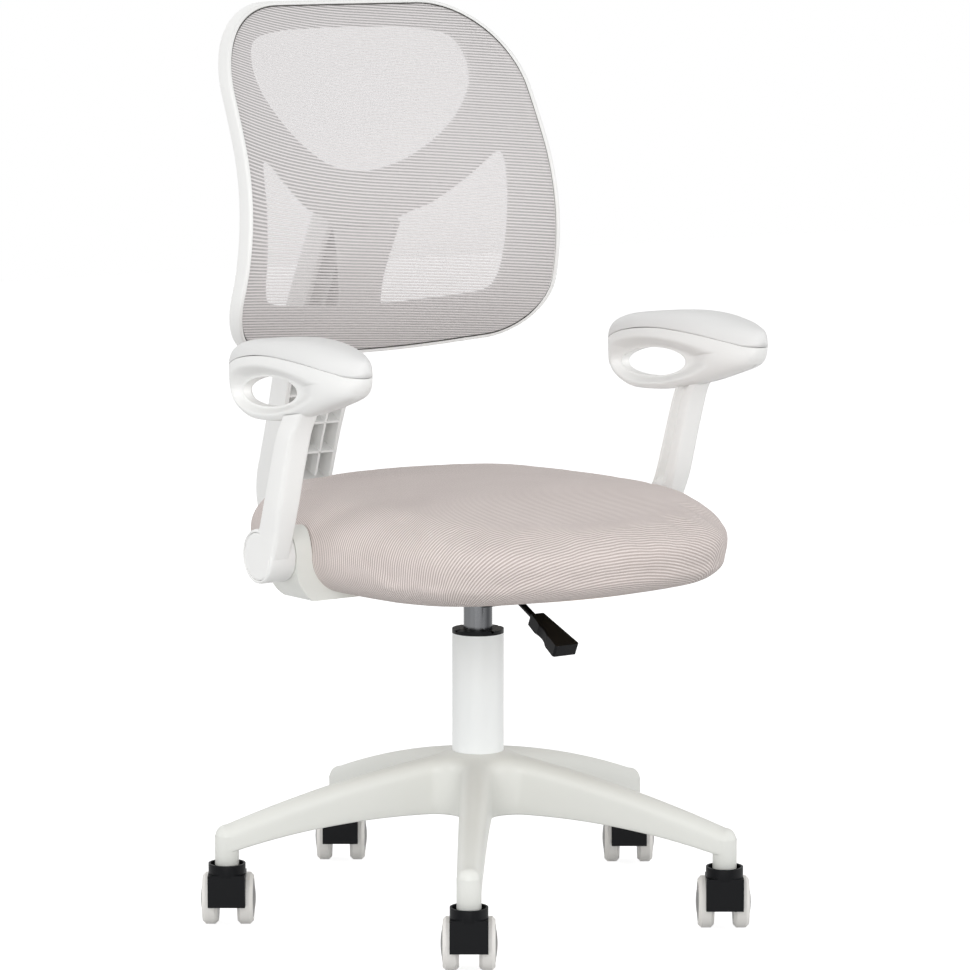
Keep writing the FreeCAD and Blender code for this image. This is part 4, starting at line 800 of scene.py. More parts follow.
@dataclass
class SeatCushion:
    """Foam seat in one stretched cloth: bowed outline, round nose all round, crowned top, softer front."""

    board_level: float = 333.5
    tilt: float = 1.0
    half_width: float = 195.0
    half_depth: float = 237.0
    forward: float = 13.0
    front_corner: float = 113.0
    rear_corner: float = 118.0
    bulge: float = 13.0
    height: float = 78.0
    nose: float = 46.0
    under_nose: float = 40.0
    crown: float = 12.0
    front_start: float = 90.0
    front_drop: float = 15.0
    front_lift: float = 6.0
    wrap_under: float = 4.5
    pocket_inset: float = 41.7
    pocket_depth: float = 12.4
    swell_room: float = -0.5
    pressure: float = 4.0
    pressure_steps: int = 20
    staple_rise: float = 4.0
    staple_margin: float = 30.0
    voxel: float = 5.0
    most_swell: float = 4.0

    def outline(self, inset: float) -> tuple[Array, Array]:
        """Closed outline of twelve tangent arcs, drawn in along its normals, anticlockwise from the right.

        Args:
            inset: how far the outline is drawn in.

        Returns:
            Points and outward normals, one row each.
        """
        quarters = [self.quarter(self.rear_corner), self.quarter(self.front_corner)]
        points = []
        normals = []
        for flip_x, flip_y in ((1, 1), (-1, 1), (-1, -1), (1, -1)):
            place, normal = quarters[0 if flip_y > 0 else 1]
            flip = np.array([flip_x, flip_y])
            order = slice(None) if flip_x * flip_y > 0 else slice(None, None, -1)
            points.append((place * flip)[order][:-1])
            normals.append((normal * flip)[order][:-1])
        place = np.concatenate(points)
        normal = np.concatenate(normals)
        return place - normal * inset - np.array([0.0, self.forward]), normal

    def quarter(self, corner: float) -> tuple[Array, Array]:
        """One quarter from the side to the end: side arc, corner arc and end arc, all tangent.

        Args:
            corner: the corner arc's radius.

        Returns:
            Points and outward normals, one row each.
        """
        hollow = corner + self.bulge
        centre = np.array([self.half_width - hollow, self.half_depth - hollow])
        side_radius = (hollow ** 2 + centre[1] ** 2 - corner ** 2) / (2 * (hollow - corner))
        end_radius = (hollow ** 2 + centre[0] ** 2 - corner ** 2) / (2 * (hollow - corner))
        side_centre = np.array([self.half_width - side_radius, 0.0])
        end_centre = np.array([0.0, self.half_depth - end_radius])
        first = math.atan2(*(centre - side_centre)[::-1])
        last = math.atan2(*(centre - end_centre)[::-1])
        runs = [(side_centre, side_radius, 0.0, first), (centre, corner, first, last),
                (end_centre, end_radius, last, math.pi / 2)]
        points = []
        normals = []
        for middle, radius, start, end in runs:
            turn = np.linspace(start, end, 31)
            way = np.stack([np.cos(turn), np.sin(turn)], axis=-1)
            points.append((middle + way * radius)[:-1])
            normals.append(way[:-1])
        points.append(np.array([[0.0, self.half_depth]]))
        normals.append(np.array([[0.0, 1.0]]))
        return np.concatenate(points), np.concatenate(normals)

    def to_world(self, points: Array) -> Array:
        """Tilt points from the board's frame into the chair's: a turn about X, then a lift to the board.

        Args:
            points: points in the piece's own frame, in the last axis.

        Returns:
            The same points in the chair's frame.
        """
        turn = math.radians(self.tilt)
        x, y, z = np.moveaxis(points, -1, 0)
        return np.stack([x, y * math.cos(turn) + z * math.sin(turn),
                         self.board_level - y * math.sin(turn) + z * math.cos(turn)], axis=-1)

    def to_board(self, points: Array) -> Array:
        """The way back from the chair's frame to the board's.

        Args:
            points: points in the chair's frame, in the last axis.

        Returns:
            The same points in the board's frame.
        """
        turn = math.radians(self.tilt)
        x, y, z = np.moveaxis(points, -1, 0)
        rise = z - self.board_level
        return np.stack([x, y * math.cos(turn) - rise * math.sin(turn),
                         y * math.sin(turn) + rise * math.cos(turn)], axis=-1)

    def shell(self) -> Array:
        """Rings from the top's middle, over the nose, to the pocket under the board.

        On the nose, inset = nose (1 - cos lift) and z = half (1 + sin lift). Inside it the rings shrink to
        the middle while the crown rises as 1 - (1 - share)^2.

        Returns:
            Points as rings by places round the outline, in the board's frame.
        """
        half = self.height / 2
        lift = np.radians(np.linspace(90, -90, 37))
        inset = self.swell_room + np.where(lift > 0, self.nose, self.under_nose) * (1 - np.cos(lift))
        level = half + np.where(lift > 0, half - self.swell_room, half + self.wrap_under) * np.sin(lift)
        rings = []
        edge, _ = self.outline(inset[0])
        middle = np.array([0.0, -self.forward])
        for share in np.linspace(1, 0.04, 24):
            ring = edge + (middle - edge) * share
            rings.append(self.ring(ring, level[0] + self.crown * (1 - (1 - share) ** 2)))
        for drawn, height in zip(inset, level):
            ring, _ = self.outline(drawn)
            rings.append(self.ring(ring, height))
        foot, _ = self.outline(self.pocket_inset)
        for height in np.linspace(level[-1], self.pocket_depth, 5):
            rings.append(self.ring(foot, height))
        for share in np.linspace(0.1, 1, 12):
            rings.append(self.ring(foot + (middle - foot) * share, self.pocket_depth))
        points = np.stack(rings)
        return self.soften_front(points)

    @staticmethod
    def ring(outline: Array, level: float) -> Array:
        """Lay an outline at one level."""
        return np.column_stack([outline, np.full(len(outline), level)])

    def soften_front(self, points: Array) -> Array:
        """Lower the top and raise the bottom towards the front edge, so that the front rolls over.

        Args:
            points: points in the board's frame, in the last axis.

        Returns:
            The same points with the front rolled over.
        """
        half = self.height / 2
        front = smooth_step(-points[..., 1], self.front_start, self.half_depth + self.forward)
        above = np.clip(points[..., 2] / half - 1, 0, None)
        below = np.clip(1 - points[..., 2] / half, 0, None)
        out = points.copy()
        out[..., 2] += front * (self.front_lift * below - self.front_drop * above)
        return out

    @staticmethod
    def finely(ring: Array) -> Array:
        """A closed ring of rows with seven rows put in evenly between each two.

        Args:
            ring: the ring's rows.

        Returns:
            The finer ring.
        """
        fine = np.arange(0, len(ring), 0.125)
        known = np.arange(len(ring) + 1)
        return np.stack([np.interp(fine, known, np.append(axis, axis[0])) for axis in ring.T], axis=1)

    def flat_map(self, points: Array) -> Array:
        """Unroll the cloth: the top keeps its plan, and the nose is laid outwards by its own arc length.

        A point's foot on the outline is its nearest spot, moved along by the way past it over the
        outline's own pace.

        Args:
            points: points in the board's frame before the foam swells.

        Returns:
            Places on the flat cloth, in millimetres.
        """
        edge, normal = (self.finely(part) for part in self.outline(0.0))
        plan = points[:, :2]
        nearest = np.empty(len(plan), dtype=int)
        for part in np.array_split(np.arange(len(plan)), 24):
            nearest[part] = np.argmin(np.linalg.norm(plan[part, None, :] - edge[None, :, :], axis=-1), axis=1)
        inset = np.sum((edge[nearest] - plan) * normal[nearest], axis=1) - self.swell_room
        pace = (np.roll(edge, -1, axis=0) - np.roll(edge, 1, axis=0)) / 2
        bend = (np.roll(normal, -1, axis=0) - np.roll(normal, 1, axis=0)) / 2
        length = np.linalg.norm(pace, axis=1)
        speed = length[nearest] - inset * np.sum(bend * pace, axis=1)[nearest] / length[nearest]
        past = np.sum((plan - edge[nearest]) * pace[nearest], axis=1) / length[nearest]
        part_step = np.clip(past / np.maximum(speed, 0.2 * length[nearest]), -1, 1)[:, None]
        foot = edge[nearest] + part_step * pace[nearest]
        way = normal[nearest] + part_step * bend[nearest]
        half = self.height / 2
        lift = np.linspace(math.pi / 2, -math.pi / 2, 200)
        step = np.hypot(np.gradient(self.nose * np.cos(lift)), np.gradient(half * np.sin(lift)))
        travel = np.cumsum(step) - step[0]
        turn = np.arctan2((points[:, 2] - half) / half, np.clip(1 - inset / self.nose, 1e-3, None))
        run = np.interp(-turn, -lift, travel)
        on_top = (inset > self.nose) & (points[:, 2] > half)
        rolled = foot - way * (self.nose - run)[:, None]
        return np.where(on_top[:, None], plan, rolled)

    def swell(self, piece: bpy.types.Object) -> None:
        """Let air pressure tighten the cloth over the foam, with each point's way capped, and keep it.

        Args:
            piece: the object.
        """
        before = vertex_places(piece)
        held = self.to_board(before)
        in_pocket = held[:, 2] < self.pocket_depth + self.staple_rise
        pinned = np.flatnonzero(in_pocket & (np.abs(held[:, 0]) < self.half_width - self.staple_margin))
        group = piece.vertex_groups.new(name="stapled")
        group.add(pinned.tolist(), 1.0, "REPLACE")
        cloth = piece.modifiers.new("cloth", "CLOTH")
        settings = cloth.settings
        settings.use_pressure = True
        settings.uniform_pressure_force = self.pressure
        settings.vertex_group_mass = "stapled"
        settings.effector_weights.gravity = 0.0
        settings.quality = 5
        scene = bpy.context.scene
        for step in range(1, self.pressure_steps + 1):
            scene.frame_set(step)
        shown = piece.evaluated_get(bpy.context.evaluated_depsgraph_get())
        flat = np.empty(len(before) * 3, dtype=np.float32)
        shown.data.vertices.foreach_get("co", flat)
        move = flat.reshape(-1, 3) / MM - before
        length = np.linalg.norm(move, axis=1, keepdims=True)
        move *= np.minimum(1, self.most_swell / np.maximum(length, 1e-6))
        piece.modifiers.remove(cloth)
        scene.frame_set(1)
        piece.data.vertices.foreach_set("co", ((before + move) * MM).astype(np.float32).ravel())
        piece.vertex_groups.clear()

    def build(self, wardrobe: Wardrobe) -> None:
        """Make the cushion, swell it and lay its cloth.

        Args:
            wardrobe: the finishes.
        """
        points = self.shell()
        rows, cols = points.shape[:2]
        piece = add_piece("seat_cushion_cloth", self.to_world(points),
                          grid_quads(rows, cols, close_cols=True))
        close_up(piece)
        bpy.context.view_layer.objects.active = piece
        piece.data.remesh_voxel_size = self.voxel * MM
        bpy.ops.object.voxel_remesh()
        even_out(piece, 8)
        flat = self.flat_map(self.to_board(vertex_places(piece)))
        lay_flat_map(piece, flat)
        self.swell(piece)
        even_out(piece, 4)
        piece.data.polygons.foreach_set("use_smooth", np.ones(len(piece.data.polygons), dtype=bool))
        smoothed(piece)
        wardrobe.dress(piece, Slot.SEAT_CLOTH, "seat", "seat_cushion")


@dataclass
class Back:
    """Saddle-shaped back: a round-edged rim and the net stretched inside it.

    The sitting face is turned about a vertical axis: its profile is an arc about the lumbar level that passes
    into a much larger arc at the shoulders.
    """

    lumbar_level: float = 662.0
    lumbar_back: float = 148.0
    lumbar_radius: float = 200.0
    shoulder_turn: float = 23.0
    shoulder_radius: float = 900.0
    wrap: float = 593.0
    bottom: float = 522.0
    bottom_rise: float = 20.0
    bottom_sweep: float = 900.0
    top: float = 873.5
    half_bottom: float = 187.0
    half_top: float = 170.0
    round_top: float = 92.0
    round_bottom: float = 60.0
    lip: float = 3.5
    rim_depth: float = 18.0
    net_depth: float = 1.2
    gap_shadow_radius: float = 0.6
    rib_slope: float = 0.08
    rib_bow: float = 0.00096
    bow_from: float = 600.0
    bow_to: float = 800.0
    net_middle: float = 30.0
    brace_back: float = 13.0
    brace_thickness: float = 5.0
    brace_sag: tuple[tuple[float, float], ...] = (
        (520.0, 8.0), (545.0, 14.0), (570.0, 25.0), (600.0, 34.0), (660.0, 42.0), (707.0, 34.0),
        (760.0, 18.0), (850.0, 0.0))
    brace_line: tuple[tuple[float, float], ...] = (
        (0.0, 684.0), (38.0, 688.0), (70.0, 702.0), (107.0, 731.0), (139.0, 764.0), (176.0, 800.0))
    fan_spots: tuple[tuple[float, float], ...] = (
        (0.0, 707.0), (40.0, 715.0), (78.0, 737.0), (106.0, 764.0), (123.0, 792.0), (125.0, 818.0),
        (113.0, 838.0), (80.0, 845.0), (40.0, 847.0), (0.0, 847.5))
    window_spots: tuple[tuple[float, float], ...] = (
        (24.0, 580.0), (29.0, 620.0), (37.0, 654.0), (52.0, 665.0), (75.0, 675.0), (107.0, 700.0),
        (128.0, 719.0), (138.0, 724.0), (142.0, 712.0), (141.5, 676.0), (139.5, 630.0), (136.5, 600.0),
        (127.0, 586.0), (100.0, 580.5), (60.0, 576.5), (31.0, 574.5))

    def outline(self, inset: float) -> Array:
        """The back's outline from the front, as x and z, drawn in by an inset.

        Args:
            inset: how far the outline is drawn in.

        Returns:
            Points as x and z, one row each.
        """
        low = self.bottom + inset
        wide = self.half_bottom - inset
        narrow = self.half_top - inset
        high = self.top - inset
        corners = np.array([[0, low], [wide, low + self.bottom_rise], [narrow, high], [-narrow, high],
                            [-wide, low + self.bottom_rise]], dtype=float)
        radii = np.array([self.bottom_sweep, self.round_bottom, self.round_top, self.round_top,
                          self.round_bottom])
        return evenly(rounded_polygon(corners, radii - inset, 60), 480)

    def face(self, x: Array, z: Array) -> Array:
        """Depth y of the sitting face at x and z, from the profile y(z) carried round the vertical axis.

        Args:
            x: places across.
            z: levels.

        Returns:
            Depths, one for each place.
        """
        turn = math.radians(self.shoulder_turn)
        rise = z - self.lumbar_level
        lumbar_hub = self.lumbar_back + self.lumbar_radius
        low = lumbar_hub - np.sqrt(np.clip(self.lumbar_radius ** 2 - rise ** 2, 1, None))
        hub_y = lumbar_hub - math.cos(turn) * (self.lumbar_radius - self.shoulder_radius)
        hub_z = math.sin(turn) * (self.lumbar_radius - self.shoulder_radius)
        high = hub_y - np.sqrt(np.clip(self.shoulder_radius ** 2 - (rise - hub_z) ** 2, 1, None))
        profile = np.where(rise < self.lumbar_radius * math.sin(turn), low, high)
        axis = self.lumbar_back - self.wrap
        return axis + np.sqrt((profile - axis) ** 2 - x ** 2)

    def net(self, wardrobe: Wardrobe) -> None:
        """The net: a disc grid inside the lip, a little behind the face.

        Its ribs run along x, a little askew, and pull up towards the upper left as slope x - bow x^2.

        Args:
            wardrobe: the finishes.
        """
        outline = self.outline(self.lip - 0.2)
        centre = np.array([0.0, self.lumbar_level + self.net_middle])
        share, angle = disc_grid(91)
        reach = around(outline, centre, angle) * share
        x = centre[0] + reach * np.cos(angle)
        z = centre[1] + reach * np.sin(angle)
        points = np.stack([x, self.face(x, z) + self.net_depth, z], axis=-1)
        piece = add_piece("back_net", points, grid_quads(*share.shape))
        line = np.linspace(self.bottom - 10, self.top + 10, 400)
        travel = np.cumsum(np.hypot(np.gradient(line), np.gradient(self.face(np.zeros_like(line), line))))
        bow = self.rib_bow * smooth_step(z, self.bow_from, self.bow_to)
        askew = self.rib_slope * x - bow * np.minimum(x, 0) ** 2
        flat = np.column_stack([x.ravel(), np.interp(z.ravel(), line, travel) + askew.ravel()])
        lay_flat_map(piece, flat)
        wardrobe.dress(piece, Slot.BACK_NET, "seat", "back_mesh")

    def rim(self, wardrobe: Wardrobe) -> None:
        """The rim: a round-edged strip section carried round the outline.

        Args:
            wardrobe: the finishes.
        """
        outline = self.outline(0.0)
        ahead = np.roll(outline, -1, axis=0) - np.roll(outline, 1, axis=0)
        ahead /= np.linalg.norm(ahead, axis=1, keepdims=True)
        outward = np.column_stack([ahead[:, 1], -ahead[:, 0]])
        section = rounded_polygon(np.array([[-self.lip - 0.3, -0.9], [0.3, -0.9], [0.3, self.rim_depth + 2.0],
                                            [-self.lip - 2.0, self.rim_depth + 2.0]]),
                                  np.array([1.4, 2.2, 3.0, 1.0]), 6)
        plan = outline[:, None, :] + outward[:, None, :] * section[None, :, :1]
        depth = self.face(outline[:, 0], outline[:, 1])[:, None] + section[None, :, 1]
        points = np.stack([plan[..., 0], depth, plan[..., 1]], axis=-1)
        piece = add_piece("back_rim", points, grid_quads(*points.shape[:2], close_rows=True, close_cols=True))
        close_up(piece)
        wardrobe.dress(piece, Slot.WHITE_PLASTIC, "seat", "back_frame")

    def gap_shadow_cord(self, wardrobe: Wardrobe) -> None:
        """A dark grey cord of painted shadow in the gap between the net's edge and the rim: a thin round
        section carried round the outline.

        Args:
            wardrobe: the finishes.
        """
        outline = self.outline(self.lip + 0.1)
        turn = np.linspace(0, 2 * math.pi, 9)[:-1]
        ahead = np.roll(outline, -1, axis=0) - np.roll(outline, 1, axis=0)
        ahead /= np.linalg.norm(ahead, axis=1, keepdims=True)
        outward = np.column_stack([ahead[:, 1], -ahead[:, 0]])
        plan = outline[:, None, :] + outward[:, None, :] * (self.gap_shadow_radius * np.cos(turn))[None, :, None]
        depth = self.face(outline[:, 0], outline[:, 1])[:, None] + 0.5 + self.gap_shadow_radius * np.sin(turn)
        points = np.stack([plan[..., 0], depth, plan[..., 1]], axis=-1)
        quads = grid_quads(*points.shape[:2], close_rows=True, close_cols=True)
        piece = add_piece("back_net_gap_shadow", points, quads)
        close_up(piece)
        # Painted shadow: the dark grey cord stands for the shade in the gap between net and rim.
        wardrobe.dress(piece, Slot.GREY_PLASTIC, "seat")

    def brace_depth(self, x: Array, z: Array) -> Array:
        """Depth of the brace: behind the face, and further back in the middle as (1 - (x / half)^2)^1.5.

        Args:
            x: places across.
            z: levels.

        Returns:
            Depths, one for each place.
        """
        spots = np.array(self.brace_sag)
        sag = np.interp(z, spots[:, 0], spots[:, 1])
        across = np.clip(1 - (x / self.half_top) ** 2, 0, 1) ** 1.5
        return self.face(x, z) + self.brace_back + sag * across

    def brace_patch(self, opening: Array, border: Array) -> Array:
        """The web between one opening and its border, with a rounded lip at the opening and a rear face.

        Args:
            opening: the opening's outline as x and z, one row each.
            border: outline of the web's part of the brace, seen whole from the opening's middle.

        Returns:
            Points as places round the opening by places over the web.
        """
        centre = opening.mean(axis=0)
        way = opening - centre
        angle = np.arctan2(way[:, 1], way[:, 0])
        spoke = np.column_stack([np.cos(angle), np.sin(angle)])
        far = centre + around(border, centre, angle)[:, None] * spoke
        share = np.concatenate([np.linspace(1, 0, 14), [0.0, 0.0, 0.0], np.linspace(0, 1, 14)])
        thick = self.brace_thickness
        lift = np.concatenate([np.zeros(14), [0.3, 0.5, 0.7], np.ones(14)]) * thick
        lip = np.concatenate([np.zeros(13), [0.8, 0.2, 0.0, 0.2, 0.8], np.zeros(13)])
        place = opening[:, None, :] + (far - opening)[:, None, :] * share[None, :, None]
        place = place + lip[None, :, None] * spoke[:, None, :]
        depth = self.brace_depth(place[..., 0], place[..., 1]) + lift
        return np.stack([place[..., 0], depth, place[..., 1]], axis=-1)

    def brace(self, wardrobe: Wardrobe) -> None:
        """The Y-shaped brace: one web round the fan-shaped opening and one round each side window.

        Args:
            wardrobe: the finishes.
        """
        outline = self.outline(self.lip + 0.5)
        line = curve_through(np.array(self.brace_line), 60)
        last = line[-1, 1]
        flip = np.array([-1.0, 1.0])
        above = outline[outline[:, 1] > last]
        fan_border = np.concatenate([above, line, line[1:] * flip])
        side = outline[(outline[:, 1] <= last) & (outline[:, 0] >= 0)]
        low = np.linspace(outline[:, 1].min(), line[0, 1], 40)
        window_border = np.concatenate([side, line, np.column_stack([np.zeros(40), low])])
        half_fan = np.array(self.fan_spots)
        fan = curve_through(np.concatenate([half_fan, (half_fan * flip)[-2:0:-1]]), 200, closed=True)
        window = curve_through(np.array(self.window_spots), 200, closed=True)
        right = self.brace_patch(window, window_border)
        patches = [self.brace_patch(fan, fan_border), right, right * np.array([-1.0, 1.0, 1.0])]
        quads = grid_quads(*right.shape[:2], close_rows=True)
        faces = [quads + index * right.size // 3 for index in range(3)]
        faces[2] = faces[2][:, ::-1]
        points = np.concatenate([patch.reshape(-1, 3) for patch in patches])
        piece = add_piece("back_brace", points, np.concatenate(faces))
        close_up(piece)
        wardrobe.dress(piece, Slot.WHITE_PLASTIC, "seat")

    def build(self, wardrobe: Wardrobe) -> None:
        """Make the net, the rim, the dark cord of painted shadow between them and the brace.

        Args:
            wardrobe: the finishes.
        """
        self.net(wardrobe)
        self.rim(wardrobe)
        self.gap_shadow_cord(wardrobe)
        self.brace(wardrobe)


@dataclass
class Spine:
    """J-shaped spine behind the seat: a channel with a rounded back, open to the front, with thin ribs in it.

    Its front line runs under the board, round a bend and up a stretch that leans forward and bows to the
    rear. The section is drawn across it, from the front line to the rear.
    """

    board: "SeatCushion"
    tongue_thickness: float = 14.0
    bend_back: float = 270.0
    bend_radius: float = 47.0
    lean: float = 25.0
    rise: float = 285.0
    bow: float = 9.0
    thickness: float = 38.0
    half_width: float = 36.5
    top_half: float = 43.0
    wall: float = 5.0
    floor: float = 22.0
    rib: float = 2.4
    rib_pitch: float = 33.0
    first_rib: float = 19.0
    long_ribs: tuple[float, ...] = (-0.5, 0.0, 0.5)
    tongue_start: float = -272.0
    thicken_from: float = -95.0
    thicken_to: float = -20.0
    open_from: float = -14.0
    open_to: float = -6.0
    widen_from: float = 20.0
    widen_to: float = 180.0
    section_rounds: tuple[float, ...] = (1.6, 12.0, 12.0, 1.6, 0.8, 1.5, 1.5, 0.8)

    def line(self, travel: Array) -> tuple[Array, Array]:
        """Front line and the way to the rear at lengths along it, counted from the end of the bend.

        Args:
            travel: lengths, minus along the bend and the tongue.

        Returns:
            Points and unit ways to the rear, each as y and z in the board's frame.
        """
        lean = math.radians(self.lean)
        arc = self.bend_radius * (lean + math.pi / 2)
        turn = np.clip(lean + np.minimum(travel, 0) / self.bend_radius, -math.pi / 2, lean)
        rear = np.column_stack([np.cos(turn), np.sin(turn)])
        hub = np.array([self.bend_back, self.bend_radius])
        place = hub + self.bend_radius * rear
        up = np.clip(travel, 0, None)
        place = place + up[:, None] * np.array([-math.sin(lean), math.cos(lean)])
        place = place + (self.bow * np.sin(math.pi * np.clip(up / self.rise, 0, 1)))[:, None] * rear
        place[:, 0] += np.minimum(travel + arc, 0)
        return place, rear

    def wide(self, travel: Array) -> Array:
        """Half width: even to a little above the bend, then widening to the head."""
        more = self.top_half - self.half_width
        return self.half_width + more * smooth_step(travel, self.widen_from, self.widen_to)

    def carried(self, travel: Array, across: Array, depth: Array) -> Array:
        """Points at lengths along the line, with an x and a depth behind it each.

        Args:
            travel: lengths along the line.
            across: places across, one row for all lengths or one for each.
            depth: depths behind the line.

        Returns:
            Points in the chair's frame.
        """
        place, rear = self.line(travel)
        x = np.broadcast_to(across, (len(travel), across.shape[-1]))
        y = place[:, :1] + rear[:, :1] * depth
        z = place[:, 1:] + rear[:, 1:] * depth
        return self.board.to_world(np.stack([x, y, z], axis=-1))

    def channel(self) -> Array:
        """The channel's skin, from the tongue's front to the head.

        Returns:
            Points as lengths along the line by places round the section.
        """
        wide, deep, wall, floor = self.half_width, self.thickness, self.wall, self.floor
        inner = wide - wall
        corners = np.array([[wide, 0], [wide, deep], [-wide, deep], [-wide, 0],
                            [-inner, 0], [-inner, floor], [inner, floor], [inner, 0]])
        steps = 8
        section = rounded_polygon(corners, np.array(self.section_rounds), steps)
        # Rings lie closer together where the tongue thickens and where the channel opens.
        travel = np.concatenate([np.linspace(self.tongue_start, -96, 12), np.linspace(-92, -16, 30),
                                 np.linspace(-14, -4, 8), np.linspace(0, self.rise, 50)])
        sunk = np.ones((len(travel), len(section)))
        sunk[:, 4 * steps:] = smooth_step(travel, self.open_from, self.open_to)[:, None]
        thin = self.tongue_thickness / deep
        deepening = thin + (1 - thin) * smooth_step(travel, self.thicken_from, self.thicken_to)
        behind = section[None, :, 1] > self.floor + 1
        depth = section[None, :, 1] * sunk * np.where(behind, deepening[:, None], 1.0)
        return self.carried(travel, section[None, :, 0] * (self.wide(travel) / wide)[:, None], depth)

    def rib_box(self, travel: Array, left: Array, right: Array) -> Array:
        """A rib: a rectangle from just under the rim to the channel's floor, carried along the line.

        Args:
            travel: lengths along the line.
            left: the rib's left side at each length.
            right: its right side at each length.

        Returns:
            Points as lengths along the line by the rectangle's corners.
        """
        across = np.column_stack([left, right, right, left])
        depth = np.broadcast_to(np.array([0.6, 0.6, self.floor + 1, self.floor + 1]), across.shape)
        return self.carried(travel, across, depth)

    def build(self, wardrobe: Wardrobe) -> None:
        """Make the channel, its long ribs and its cross ribs as one moulding.

        Args:
            wardrobe: the finishes.
        """
        patches = [self.channel()]
        travel = np.linspace(-6, self.rise, 60)
        for share in self.long_ribs:
            middle = share * (self.wide(travel) - self.wall)
            patches.append(self.rib_box(travel, middle - self.rib / 2, middle + self.rib / 2))
        feet = np.arange(self.first_rib, self.rise - 20, self.rib_pitch)
        for foot in np.append(feet, self.rise - self.rib - 0.2):
            span = foot + np.array([0.0, 0.01, self.rib - 0.01, self.rib])
            half = (self.wide(span) - self.wall + 1) * np.array([0.0, 1.0, 1.0, 0.0])
            patches.append(self.rib_box(span, -half, half))
        points = []
        faces = []
        count = 0
        for patch in patches:
            points.append(patch.reshape(-1, 3))
            faces.append(grid_quads(*patch.shape[:2], close_cols=True) + count)
            count += patch.size // 3
        piece = add_piece("back_spine_moulding", np.concatenate(points), np.concatenate(faces))
        close_up(piece, ends=True)
        piece.data.set_sharp_from_angle(angle=math.radians(35))
        wardrobe.dress(piece, Slot.WHITE_PLASTIC, "seat", "back_spine")


@dataclass
class FrameBolts:
    """Button-headed bolts.

    They go through the board into the plate, the wings and the spine's tongue, and into the brace from its
    rear. One bolt is a profile of radii and levels under its head's face, turned about its own axis.
    """

    board: SeatCushion
    back: Back
    plate: tuple[float, float] = (60.0, 68.0)
    wing: tuple[float, float] = (122.0, 15.0)
    wing_middle: float = 19.0
    tongue: tuple[float, float] = (20.0, 125.0)
    brace_x: float = 11.0
    brace_level: float = 693.0
    clamp: float = 3.0
    profile: tuple[tuple[float, float], ...] = (
        (0.0, -3.5), (1.8, -3.4), (3.6, -3.0), (4.9, -2.2), (5.5, -1.0), (5.5, 0.0), (3.0, 0.0),
        (3.0, 9.0), (0.0, 9.0))

    def bolt(self) -> Array:
        """One bolt with its head downwards along Z.

        Returns:
            Points as places round the bolt by spots of its profile.
        """
        spots = np.array(self.profile)
        turn = np.linspace(0, 2 * math.pi, 25)[:-1]
        x = spots[None, :, 0] * np.cos(turn)[:, None]
        y = spots[None, :, 0] * np.sin(turn)[:, None]
        return np.stack([x, y, np.broadcast_to(spots[None, :, 1], x.shape)], axis=-1)

    def build(self, wardrobe: Wardrobe) -> None:
        """Set every bolt in its place as one piece.

        Args:
            wardrobe: the finishes.
        """
        bolt = self.bolt()
        side, end = (part.ravel() for part in np.meshgrid([-1.0, 1.0], [-1.0, 1.0]))
        sides = np.array([-1.0, 1.0])
        spots = np.concatenate([
            np.column_stack([side * self.plate[0], end * self.plate[1]]),
            np.column_stack([side * self.wing[0], self.wing_middle + end * self.wing[1]]),
            np.column_stack([sides * self.tongue[0], np.full(2, self.tongue[1])])])
        under = np.column_stack([spots, np.full(len(spots), -self.clamp)])
        seat = self.board.to_world(under[:, None, None, :] + bolt)
        web = self.back.brace_thickness
        turned = np.stack([bolt[..., 0], -np.minimum(bolt[..., 2], web - 0.5), bolt[..., 1]], axis=-1)
        x = sides * self.brace_x
        level = np.full(2, self.brace_level)
        places = np.column_stack([x, self.back.brace_depth(x, level) + web, level])
        points = np.concatenate([seat, places[:, None, None, :] + turned])
        quads = grid_quads(*bolt.shape[:2], close_rows=True)
        faces = quads[None] + (np.arange(len(points)) * (bolt.size // 3))[:, None, None]
        piece = add_piece("frame_bolt_set", points, faces.reshape(-1, 4))
        close_up(piece)
        wardrobe.dress(piece, Slot.STEEL, "seat", "frame_bolts")


class Side(Enum):
    """Which side of the chair, with its sign along X."""

    LEFT = -1
    RIGHT = 1


